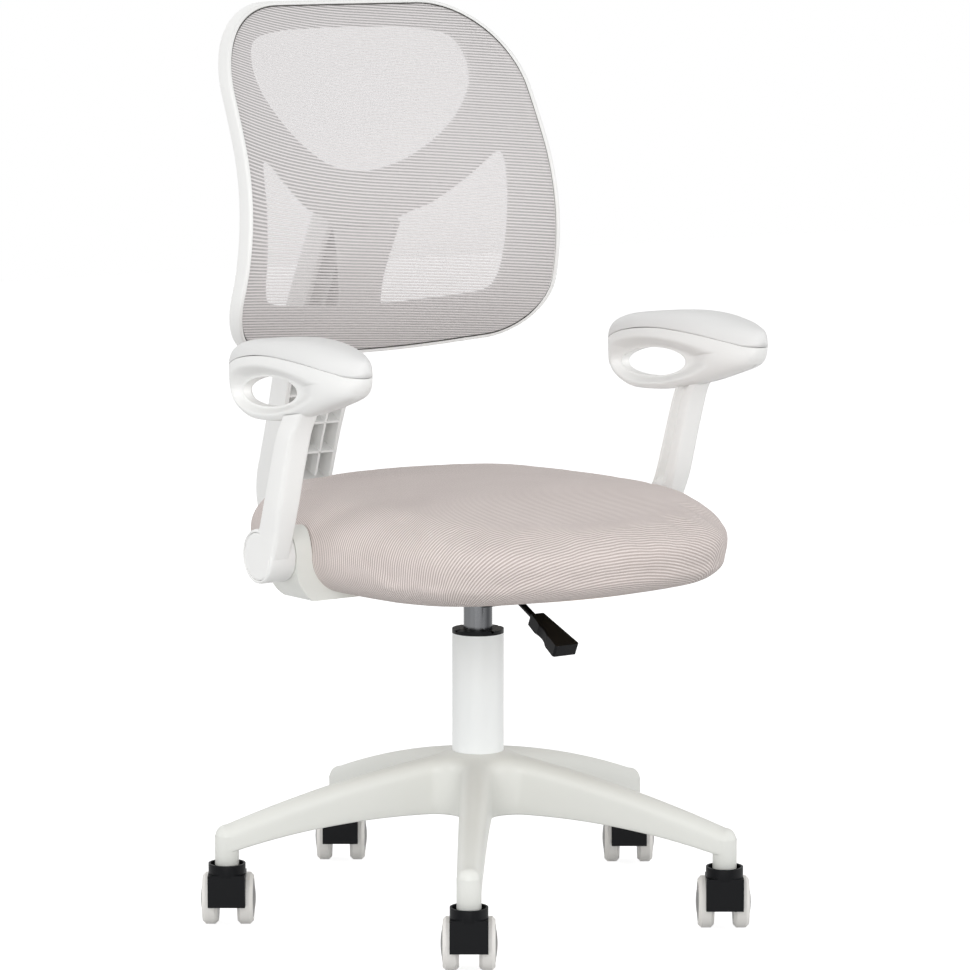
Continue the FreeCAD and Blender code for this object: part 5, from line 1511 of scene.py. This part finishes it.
@dataclass
class ArmRest:
    """One flip-up armrest: a post on its barrel, a loop with a hand hold, and a soft pad on top of the loop.

    The side view is drawn as places along the arm, plus to the rear, and levels above the pivot. The half
    width over that view is W (1 - r^p)^(1/p) (1 - e^q)^(1/q), with r the share of the way from the middle
    of the height to the outline and e that from the middle of the length, then narrowed below the seam and
    dished round the hold.
    """

    side: Side
    pivot_y: float = 19.58
    pivot_z: float = 366.66
    out: float = 223.0
    half_width: float = 29.0
    round_power: float = 3.5
    plan_power: float = 2.15
    toe: float = 1.5
    middle: float = -57.0
    half_length: float = 115.5
    seam_gap: float = 0.7
    crest_power: float = 6.0
    dome_power: float = 2.5
    hold_back: float = -9.6
    hold_level: float = 155.5
    hold_half_length: float = 52.0
    hold_half_height: float = 14.0
    hold_tilt: float = 5.4
    dish_share: float = 0.7
    dish_start: float = 0.05
    dish_reach: float = 0.6
    narrow_from: float = 4.0
    narrow_to: float = 66.0
    narrowing: float = 0.4
    seam_spots: tuple[tuple[float, float], ...] = (
        (-1.0, 183.0), (-0.87, 184.0), (-0.74, 186.6), (-0.46, 190.3), (-0.18, 192.3), (0.1, 192.8),
        (0.38, 190.6), (0.62, 186.3), (0.76, 182.4), (0.9, 177.2), (1.0, 172.5))
    crest_spots: tuple[tuple[float, float], ...] = (
        (-1.0, 21.0), (-0.71, 20.3), (-0.44, 20.2), (-0.17, 18.8), (0.1, 16.2), (0.4, 15.0), (0.68, 16.3),
        (1.0, 19.0))
    under_spots: tuple[tuple[float, float], ...] = (
        (-172.5, 183.0), (-169.6, 176.0), (-164.6, 169.0), (-156.6, 163.0), (-130.1, 153.8), (-94.1, 142.8),
        (-63.6, 136.5), (-33.1, 130.8), (-5.1, 127.8), (20.4, 127.3), (37.4, 131.0), (52.4, 137.8),
        (61.4, 147.2), (63.9, 157.0), (62.4, 165.5), (58.5, 172.5))
    barrel_radius: float = 25.8
    barrel_near: float = -13.7
    barrel_far: float = 14.3
    cap_radius: float = 23.0
    cap_depth: float = 3.9
    post_half: float = 14.75
    post_thickness: float = 20.8
    post_bulge: float = 2.6
    recess: float = 7.0
    recess_from: float = 36.0
    recess_to: float = 42.0
    rear_wall: float = 4.2
    front_lip: float = -5.0
    foot_level: float = 18.0
    head_level: float = 137.0
    bulge_levels: tuple[float, float, float, float] = (20.0, 50.0, 115.0, 140.0)
    post_rounds: tuple[float, ...] = (3.0, 5.0, 4.0, 1.2, 0.6, 0.8, 0.8, 0.8)
    post_front: tuple[tuple[float, float], ...] = (
        (-4.0, -24.5), (18.0, -33.0), (50.0, -44.0), (95.0, -57.5), (124.0, -68.0), (150.0, -85.0))
    post_rear: tuple[tuple[float, float], ...] = (
        (-4.0, 15.0), (18.0, 2.0), (36.0, -8.0), (50.0, -14.5), (95.0, -30.0), (124.0, -40.5), (150.0, -53.0))

    def share(self, along: Array) -> Array:
        """Place along the arm as a share of its half length, +1 at the rear."""
        return np.clip((along - self.middle) / self.half_length, -1, 1)

    def seam(self, share: Array) -> Array:
        """Level of the wavy seam, read from a smooth curve through its spots."""
        curve = curve_through(np.array(self.seam_spots), 300)
        return np.interp(share, curve[:, 0], curve[:, 1])

    def crest(self, share: Array) -> Array:
        """Height of the pad over the seam: a smooth line times the blunt end (1 - |share|^p)^(1/p).

        Args:
            share: places along the arm, from -1 to 1.

        Returns:
            Heights over the seam.
        """
        curve = curve_through(np.array(self.crest_spots), 300)
        blunt = np.clip(1 - np.abs(share) ** self.crest_power, 0, None) ** (1 / self.crest_power)
        return np.interp(share, curve[:, 0], curve[:, 1]) * blunt

    def to_world(self, points: Array, toe: float) -> Array:
        """Turn arm points by the toe about the arm's middle, mirror the left side, and lift to the pivot.

        Args:
            points: points in the piece's own frame, in the last axis.
            toe: the turn about the upright, in degrees.

        Returns:
            The same points in the chair's frame.
        """
        turn = math.radians(toe)
        x = points[..., 0]
        y = points[..., 1] - self.middle
        turned_x = x * math.cos(turn) - y * math.sin(turn)
        turned_y = x * math.sin(turn) + y * math.cos(turn)
        return np.stack([self.side.value * (self.out + turned_x), turned_y + self.middle + self.pivot_y,
                         points[..., 2] + self.pivot_z], axis=-1)

    def roof_line(self, lift: float) -> Array:
        """Line over the arm from its rear to its front, at the seam plus a share of the crest.

        Args:
            lift: the share of the crest's height, 0 at the seam.

        Returns:
            Points as places along the arm and levels, one row each.
        """
        share = np.cos(np.linspace(0, math.pi, 161))
        along = share * self.half_length + self.middle
        return np.column_stack([along, self.seam(share) + lift * self.crest(share)])

    def under_line(self) -> Array:
        """Line under the loop from its front to its rear."""
        return curve_through(np.array(self.under_spots), 200)

    def hold_reach(self, angle: Array) -> Array:
        """Distance from the hold's middle to its tilted oval in each direction.

        Args:
            angle: directions from the hold's middle, in radians.

        Returns:
            Distances, one for each direction.
        """
        turn = angle + math.radians(self.hold_tilt)
        long, high = self.hold_half_length, self.hold_half_height
        return long * high / np.hypot(high * np.cos(turn), long * np.sin(turn))

    def loop_line(self) -> Array:
        """The loop's own outline: the seam from rear to front, then the underside back to the rear."""
        return np.concatenate([self.roof_line(0.0), self.under_line()[1:-1]])

    def width(self, along: Array, level: Array) -> Array:
        """Half width of the arm over its side view, by the formula of the class.

        Args:
            along: places along the arm.
            level: levels above the pivot.

        Returns:
            Half widths, one for each place.
        """
        under = self.under_line()
        turn = int(np.argmax(under[:, 0]))
        floor = under[:turn + 1]
        roof = np.concatenate([self.roof_line(1.0)[::-1], under[turn:-1][::-1]])
        high = np.interp(along, roof[:, 0], roof[:, 1])
        low = np.interp(along, floor[:, 0], floor[:, 1])
        ratio = np.clip(np.abs(level - (high + low) / 2) / np.maximum((high - low) / 2, 0.5), 0, 1)
        full = (1 - ratio ** self.round_power) ** (1 / self.round_power)
        half = (floor[-1, 0] - floor[0, 0]) / 2
        place = np.clip(np.abs(along - floor[0, 0] - half) / half, 0, 1)
        plan = (1 - place ** self.plan_power) ** (1 / self.plan_power)
        below = smooth_step(self.seam(self.share(along)) - level, self.narrow_from, self.narrow_to)
        return self.half_width * plan * full * (1 - self.narrowing * below) * self.dish(along, level)

    def dish(self, along: Array, level: Array) -> Array:
        """Share of the width left round the hold: least at its edge, whole past half the way out.

        Args:
            along: places along the arm.
            level: levels above the pivot.

        Returns:
            Shares from 0 to 1, one for each place.
        """
        centre = np.array([self.hold_back, self.hold_level])
        angle = np.arctan2(level - centre[1], along - centre[0])
        edge = self.hold_reach(angle)
        border = around(self.loop_line(), centre, angle)
        way = (np.hypot(along - centre[0], level - centre[1]) - edge) / np.maximum(border - edge, 1.0)
        return 1 - self.dish_share * (1 - smooth_step(way, self.dish_start, self.dish_reach))

    def loop(self, wardrobe: Wardrobe) -> None:
        """The loop: a ring round the hold, with a section from the roof or underside to the hold's wall.

        Args:
            wardrobe: the finishes.
        """
        line = self.loop_line() - np.array([0.0, self.seam_gap / 2])
        centre = np.array([self.hold_back, self.hold_level])
        angle = np.arctan2(line[:, 1] - centre[1], line[:, 0] - centre[0])
        spoke = np.column_stack([np.cos(angle), np.sin(angle)])
        hold = centre + self.hold_reach(angle)[:, None] * spoke
        steps = np.sin(np.linspace(0, math.pi / 2, 26)) ** 2
        way = np.concatenate([[0.0, 0.0], steps, [1.0, 1.0]])
        full = np.concatenate([[0.0, 0.5], np.ones(len(steps) - 1), [0.8, 0.5, 0.0]])
        place = line[:, None, :] + (hold - line)[:, None, :] * way[None, :, None]
        half = self.width(place[..., 0], place[..., 1]) * full
        near = np.concatenate([half[..., None], place], axis=-1)
        far = (near * np.array([-1.0, 1.0, 1.0]))[:, -2:0:-1]
        points = np.concatenate([near, far], axis=1)
        word = self.side.name.lower()
        piece = add_piece(f"arm_loop_{word}_shell", self.to_world(points, self.toe),
                          grid_quads(*points.shape[:2], close_rows=True, close_cols=True))
        close_up(piece)
        wardrobe.dress(piece, Slot.WHITE_PLASTIC, f"arm_{word}", f"arm_loop_{word}")

    def pad(self, wardrobe: Wardrobe) -> None:
        """The pad: a disc grid for the skin and one for the flat underside, meeting along the seam.

        Over a cross-section the height above the seam is (1 - |across|^p)^(1/p) of the crest's.

        Args:
            wardrobe: the finishes.
        """
        reach, angle = disc_grid(81)
        reach = np.sin(reach * math.pi / 2) ** 0.8
        share = np.clip(reach * np.cos(angle), -0.99999, 0.99999)
        rest = np.clip(reach * np.sin(angle) / np.sqrt(1 - share ** 2), -1, 1)
        along = share * self.half_length + self.middle
        low = self.seam(share) + self.seam_gap / 2
        half = self.width(along, self.seam(share))
        dome = np.clip(1 - np.abs(rest) ** self.dome_power, 0, None) ** (1 / self.dome_power)
        dome = np.where(reach > 0.99999, 0.0, dome)
        upper = np.stack([half * rest, along, low + self.crest(share) * dome], axis=-1)
        lower = np.stack([half * rest, along, low], axis=-1)
        quads = grid_quads(*reach.shape)
        word = self.side.name.lower()
        piece = add_piece(f"arm_pad_{word}_skin", self.to_world(np.stack([upper, lower]), self.toe),
                          np.concatenate([quads, quads[:, ::-1] + reach.size]))
        close_up(piece)
        wardrobe.dress(piece, Slot.SOFT_PAD, f"arm_{word}", f"arm_pad_{word}")

    def post_shell(self) -> Array:
        """The post: a rounded section with a recess on its inner side, carried up between two lines.

        Each place round the section starts on a circle just outside the cap and ends inside the loop. Its y
        is the middle of the two lines plus the section's own y, stretched to the lines' distance.

        Returns:
            Points as levels by places round the section.
        """
        half, thick = self.post_half, self.post_thickness
        rear_lip, front_lip = half - self.rear_wall, self.front_lip
        corners = np.array([[0, -half], [thick, -half], [thick, half], [0, half], [0, rear_lip],
                            [self.recess, rear_lip - 1.0], [self.recess, front_lip + 1.0], [0, front_lip]])
        steps = 8
        section = rounded_polygon(corners, np.array(self.post_rounds), steps)
        foot_y, _ = self.post_line(np.full(len(section), self.foot_level), section[:, 1])
        foot = np.sqrt(np.clip((self.cap_radius + 0.7) ** 2 - foot_y ** 2, 0, None))
        head_y, _ = self.post_line(np.full(len(section), self.head_level), section[:, 1])
        under = self.under_line()[:150]
        head = np.interp(head_y, under[:, 0], under[:, 1]) + 4.0
        share = np.concatenate([np.linspace(0, 0.1, 8), np.linspace(0.11, 0.21, 14),
                                np.linspace(0.23, 1, 30)])
        level = foot + (head - foot) * share[:, None]
        y, sunk = self.post_line(level, section[:, 1])
        sunk = np.where(np.arange(len(section)) < 4 * steps, 1.0, sunk)
        rise_from, rise_to, fall_from, fall_to = self.bulge_levels
        bulge = self.post_bulge * smooth_step(level, rise_from, rise_to) * (
            1 - smooth_step(level, fall_from, fall_to))
        x = self.barrel_far + 0.2 - thick + section[:, 0] * sunk * (1 + bulge / thick)
        return np.stack([x, y, level], axis=-1)

    def post_line(self, level: Array, across: Array) -> tuple[Array, Array]:
        """Place along the arm of points of the post's section, and how far the recess is open.

        Args:
            level: levels above the pivot.
            across: places across the section.

        Returns:
            Places along the arm, and shares from 0, closed, to 1, open.
        """
        front = curve_through(np.array(self.post_front), 200)
        rear = curve_through(np.array(self.post_rear), 200)
        first = np.interp(level, front[:, 0], front[:, 1])
        last = np.interp(level, rear[:, 0], rear[:, 1])
        place = (first + last) / 2 + across * (last - first) / (2 * self.post_half)
        return place, smooth_step(level, self.recess_from, self.recess_to)

    def barrel_shell(self) -> Array:
        """The barrel: a profile of places along X and radii, turned about the pivot.

        Returns:
            Points as places round the pivot by spots of the profile.
        """
        near, far, radius, cap = self.barrel_near, self.barrel_far, self.barrel_radius, self.cap_radius
        spots = np.array([[near, 8.0], [near, radius - 1.6], [near + 0.5, radius - 0.5], [near + 1.6, radius],
                          [far - 3.0, radius], [far - 1.2, radius - 0.4], [far - 0.3, radius - 1.2],
                          [far, radius - 2.0], [far, cap + 0.2], [far - 0.3, cap],
                          [far - self.cap_depth, cap], [far - self.cap_depth, 8.0]])
        turn = np.linspace(0, 2 * math.pi, 97)[:-1]
        x = np.broadcast_to(spots[None, :, 0], (len(turn), len(spots)))
        y = spots[None, :, 1] * np.cos(turn)[:, None]
        z = spots[None, :, 1] * np.sin(turn)[:, None]
        return np.stack([x, y, z], axis=-1)

    def post(self, wardrobe: Wardrobe) -> None:
        """The post and its barrel in one moulding.

        Args:
            wardrobe: the finishes.
        """
        post = self.post_shell()
        barrel = self.barrel_shell()
        quads = np.concatenate([grid_quads(*post.shape[:2], close_cols=True),
                                grid_quads(*barrel.shape[:2], close_rows=True) + post.size // 3])
        points = np.concatenate([post.reshape(-1, 3), barrel.reshape(-1, 3)])
        word = self.side.name.lower()
        piece = add_piece(f"arm_post_{word}_moulding", self.to_world(points, 0.0), quads)
        close_up(piece)
        wardrobe.dress(piece, Slot.WHITE_PLASTIC, f"arm_{word}", f"arm_post_{word}")

    def build(self, wardrobe: Wardrobe) -> None:
        """Make the post, the loop and the pad.

        Args:
            wardrobe: the finishes.
        """
        self.post(wardrobe)
        self.loop(wardrobe)
        self.pad(wardrobe)


@dataclass
class CasterTrim:
    """Rounder hoods and the domed discs on the wheels' outer faces."""

    casters: int = 5
    disc_share: float = 0.8
    bulge: float = 2.0
    hood_round: float = 2.2
    hood_angle: float = 40.0

    @staticmethod
    def places(name: str) -> Array:
        """A carried-over node's points in the chair's frame, in millimetres.

        Args:
            name: the node's name.

        Returns:
            Points, one row each.
        """
        node = frame["nodes"][name]
        turn = np.array(node.matrix_world)
        return vertex_places(node) @ turn[:3, :3].T + turn[:3, 3] / MM

    def disc(self, wardrobe: Wardrobe, index: int, side: str) -> None:
        """A dome on the wheel's outer face: bulge (1 - (radius / edge)^2) high, turned about the axle.

        Args:
            wardrobe: the finishes.
            index: the caster's number.
            side: left or right.
        """
        tyre = self.places(f"caster_{index}_{side}_tyre")
        other = "right" if side == "left" else "left"
        middle = (tyre.min(axis=0) + tyre.max(axis=0)) / 2
        mate = self.places(f"caster_{index}_{other}_tyre")
        axle = middle - (mate.min(axis=0) + mate.max(axis=0)) / 2
        axle /= np.linalg.norm(axle)
        face = np.max((tyre - middle) @ axle)
        edge = self.disc_share * np.max(np.abs(tyre[:, 2] - middle[2]))
        radius = edge * np.sin(np.linspace(0, math.pi / 2, 12))
        height = face - 1.0 + (self.bulge + 1.0) * (1 - (radius / edge) ** 2)
        turn = np.linspace(0, 2 * math.pi, 65)[:-1]
        upright = np.array([0.0, 0.0, 1.0])
        level = np.cross(upright, axle)
        spoke = np.cos(turn)[:, None] * level + np.sin(turn)[:, None] * upright
        points = middle + height[None, :, None] * axle + radius[None, :, None] * spoke[:, None, :]
        back = middle + (face - 3.0) * axle + np.array([1.0, 0.0])[None, :, None] * edge * spoke[:, None, :]
        points = np.concatenate([points, back], axis=1)
        quads = grid_quads(*points.shape[:2], close_rows=True)
        piece = add_piece(f"caster_{index}_{side}_disc", points, quads)
        close_up(piece)
        wardrobe.dress(piece, Slot.GREY_PLASTIC, f"wheel_{index}_{side}")

    def build(self, wardrobe: Wardrobe) -> None:
        """Round the hoods' edges and add the discs.

        Args:
            wardrobe: the finishes.
        """
        for index in range(1, self.casters + 1):
            hood = frame["nodes"][f"caster_{index}_housing"]
            weld = hood.modifiers.new("join", "WELD")
            weld.merge_threshold = 0.005 * MM
            bevel = hood.modifiers.new("round", "BEVEL")
            bevel.width = self.hood_round * MM
            bevel.segments = 3
            bevel.limit_method = "ANGLE"
            bevel.angle_limit = math.radians(self.hood_angle)
            for side in ("left", "right"):
                self.disc(wardrobe, index, side)


@dataclass
class StarBase:
    """Five-legged base in one moulding: arched legs that flow into the hub through wide fillets.

    Half a leg is a grid: lines run from the hub's rim or the leg's ridge to the leg's outline, over a crown
    that sinks by 1 - (1 - share^p)^(1/p), down the side and into the hollow underneath. The outline is a
    fillet from the line midway between two legs, a straight side, and a quarter circle round the tip.
    """

    first_leg: float = -126.3
    legs: int = 5
    reach: float = 249.3
    hub_rim: float = 25.2
    half_hub: float = 16.0
    half_tip: float = 11.5
    fillet: float = 24.0
    crown: float = 15.0
    crown_power: float = 2.3
    foot_edge: float = 2.0
    wall: float = 4.0
    boss_bottom: float = 61.0
    boss_top: float = 90.0
    hollow_radii: tuple[float, float, float, float] = (58.0, 76.0, 215.0, 235.0)
    ridge_levels: tuple[float, float, float] = (163.5, 134.2, 100.5)
    edge_levels: tuple[float, float, float] = (99.0, 96.0, 74.5)

    @staticmethod
    def arch(radius: Array, levels: tuple[float, float, float]) -> Array:
        """Level on the arc through three places: the levels at the distances of ARCH_SPOTS.

        Args:
            radius: distances from the axis.
            levels: the levels at those three distances.

        Returns:
            Levels, one for each distance.
        """
        first, second, third = (complex(at, level) for at, level in zip(ARCH_SPOTS, levels))
        side = (third - first) / (second - first)
        centre = (first - second) * (side - abs(side) ** 2) / 2j / side.imag - first
        size = abs(first + centre)
        sign = math.copysign(1, levels[1] + centre.imag)
        return -centre.imag + sign * np.sqrt(size ** 2 - (radius + centre.real) ** 2)

    def top(self, radius: Array) -> Array:
        """Level of a leg's ridge."""
        return self.arch(radius, self.ridge_levels)

    def under(self, radius: Array) -> Array:
        """Level of a leg's lower edge."""
        return self.arch(radius, self.edge_levels)

    def half_plan(self) -> tuple[Array, Array, Array]:
        """Outline of half a leg from above, along +X.

        Returns:
            The inner line's points, the outline's points and the outline's outward normals, one row each.
        """
        middle = math.pi / self.legs
        slope = math.atan2(self.half_hub - self.half_tip, self.reach)
        opening = middle + slope
        corner = self.half_hub / (math.sin(middle) + math.tan(slope) * math.cos(middle))
        far = corner + self.fillet / math.sin(opening)
        centre = far * np.array([math.cos(middle), math.sin(middle)])
        turn = np.linspace(math.pi + middle, 1.5 * math.pi - slope, 15)[:-1]
        spoke = np.column_stack([np.cos(turn), np.sin(turn)])
        bend = centre + self.fillet * spoke
        start = centre[0] + self.fillet * math.cos(1.5 * math.pi - slope)
        x = np.linspace(start, self.reach, 31)[:-1]
        side = np.column_stack([x, self.half_hub - x * math.tan(slope)])
        lean = np.tile([math.sin(slope), math.cos(slope)], (len(x), 1))
        round_off = np.linspace(math.pi / 2 - slope, 0, 10)
        tip_way = np.column_stack([np.cos(round_off), np.sin(round_off)])
        tip = np.array([self.reach, 0.0]) + self.half_tip * tip_way
        turn_in = np.linspace(middle, 0, len(bend) + 1)[:-1]
        rim = self.hub_rim * np.column_stack([np.cos(turn_in), np.sin(turn_in)])
        ridge = np.column_stack([np.linspace(self.hub_rim, self.reach, len(x) + 1)[:-1], np.zeros(len(x))])
        end = np.tile([self.reach, 0.0], (len(tip), 1))
        return (np.concatenate([rim, ridge, end]), np.concatenate([bend, side, tip]),
                np.concatenate([-spoke, lean, tip_way]))

    def half_leg(self) -> Array:
        """Surface of half a leg along +X.

        Returns:
            Points as places along the outline by places over the section.
        """
        inner, outline, normal = self.half_plan()
        plan = []
        level = []
        for share in np.sin(np.linspace(0, math.pi / 2, 18)):
            spot = inner + (outline - inner) * share
            plan.append(spot)
            sunk = self.crown * (1 - (1 - share ** self.crown_power) ** (1 / self.crown_power))
            level.append(self.top(np.minimum(np.hypot(*spot.T), self.reach)) - sunk)
        crest = level[-1]
        foot = self.under(np.minimum(np.hypot(*outline.T), self.reach))
        for share in (0.35, 0.7, 1.0):
            plan.append(outline)
            level.append(crest + (foot + self.foot_edge - crest) * share)
        for turn in np.radians((45, 90)):
            plan.append(outline - normal * self.foot_edge * (1 - math.cos(turn)))
            level.append(foot + self.foot_edge * (1 - math.sin(turn)))
        radius = np.hypot(*outline.T)
        rise_from, rise_to, fall_from, fall_to = self.hollow_radii
        room = smooth_step(radius, rise_from, rise_to) * (1 - smooth_step(radius, fall_from, fall_to))
        inset = outline - normal * self.wall
        roof = foot + (crest - 2 * self.wall - foot) * room
        plan.append(inset)
        level.append(foot)
        for share in (0.25, 1.0):
            plan.append(inset - normal * 0.8 * share)
            level.append(foot + (roof - foot) * (1.0 if share == 1.0 else 0.8))
        plan.append(inner + (inset - inner) * 0.4)
        level.append(roof)
        plan.append(inner)
        level.append(roof)
        return np.concatenate([np.stack(plan, axis=1), np.stack(level, axis=1)[..., None]], axis=-1)

    def boss(self) -> Array:
        """Round boss under a leg's tip, turned about the caster's stem: a straight wall and a round foot.

        Returns:
            Points as places round the stem by spots of the profile.
        """
        turn = np.linspace(0, 2 * math.pi, 49)[:-1]
        radius = np.array([self.half_tip, self.half_tip, self.half_tip - 0.4, self.half_tip - 1.2, 6.5, 5.7])
        level = np.array([self.boss_top, self.boss_bottom + 1.2, self.boss_bottom + 0.4, self.boss_bottom,
                          self.boss_bottom, self.boss_bottom + 1.0])
        x = self.reach + radius[None, :] * np.cos(turn)[:, None]
        y = radius[None, :] * np.sin(turn)[:, None]
        return np.stack([x, y, np.broadcast_to(level, x.shape)], axis=-1)

    def build(self, wardrobe: "Wardrobe") -> None:
        """Make the whole base: each half leg, its mirror image and its boss, turned to five headings.

        Args:
            wardrobe: the finishes.
        """
        half = self.half_leg()
        rows, cols = half.shape[:2]
        quads = grid_quads(rows, cols)
        boss = self.boss()
        boss_quads = grid_quads(*boss.shape[:2], close_rows=True)
        patches = [(half, quads), (half * np.array([1.0, -1.0, 1.0]), quads[:, ::-1]), (boss, boss_quads)]
        points = []
        faces = []
        count = 0
        for turn in np.radians(self.first_leg + 360 / self.legs * np.arange(self.legs)):
            cos, sin = math.cos(turn), math.sin(turn)
            spin = np.array([[cos, sin, 0], [-sin, cos, 0], [0, 0, 1]])
            for patch, patch_quads in patches:
                points.append(patch.reshape(-1, 3) @ spin)
                faces.append(patch_quads + count)
                count += patch.size // 3
        piece = add_piece("star_base_moulding", np.concatenate(points), np.concatenate(faces))
        close_up(piece)
        wardrobe.dress(piece, Slot.WHITE_PLASTIC, "base", "star_base")
        piece.data.materials[0] = wardrobe.nylon_and_bracket_shade


def main() -> None:
    """Build the studio, dress the frame and add the chair's own pieces."""
    logging.basicConfig(level=logging.INFO, format="%(message)s")
    Studio().build()
    wardrobe = Wardrobe.stocked()
    wardrobe.dress_nodes()
    cushion = SeatCushion()
    cushion.build(wardrobe)
    back = Back()
    back.build(wardrobe)
    Spine(cushion).build(wardrobe)
    FrameBolts(cushion, back).build(wardrobe)
    for side in Side:
        ArmRest(side).build(wardrobe)
    StarBase().build(wardrobe)
    CasterTrim().build(wardrobe)


if __name__ == "__main__":
    main()
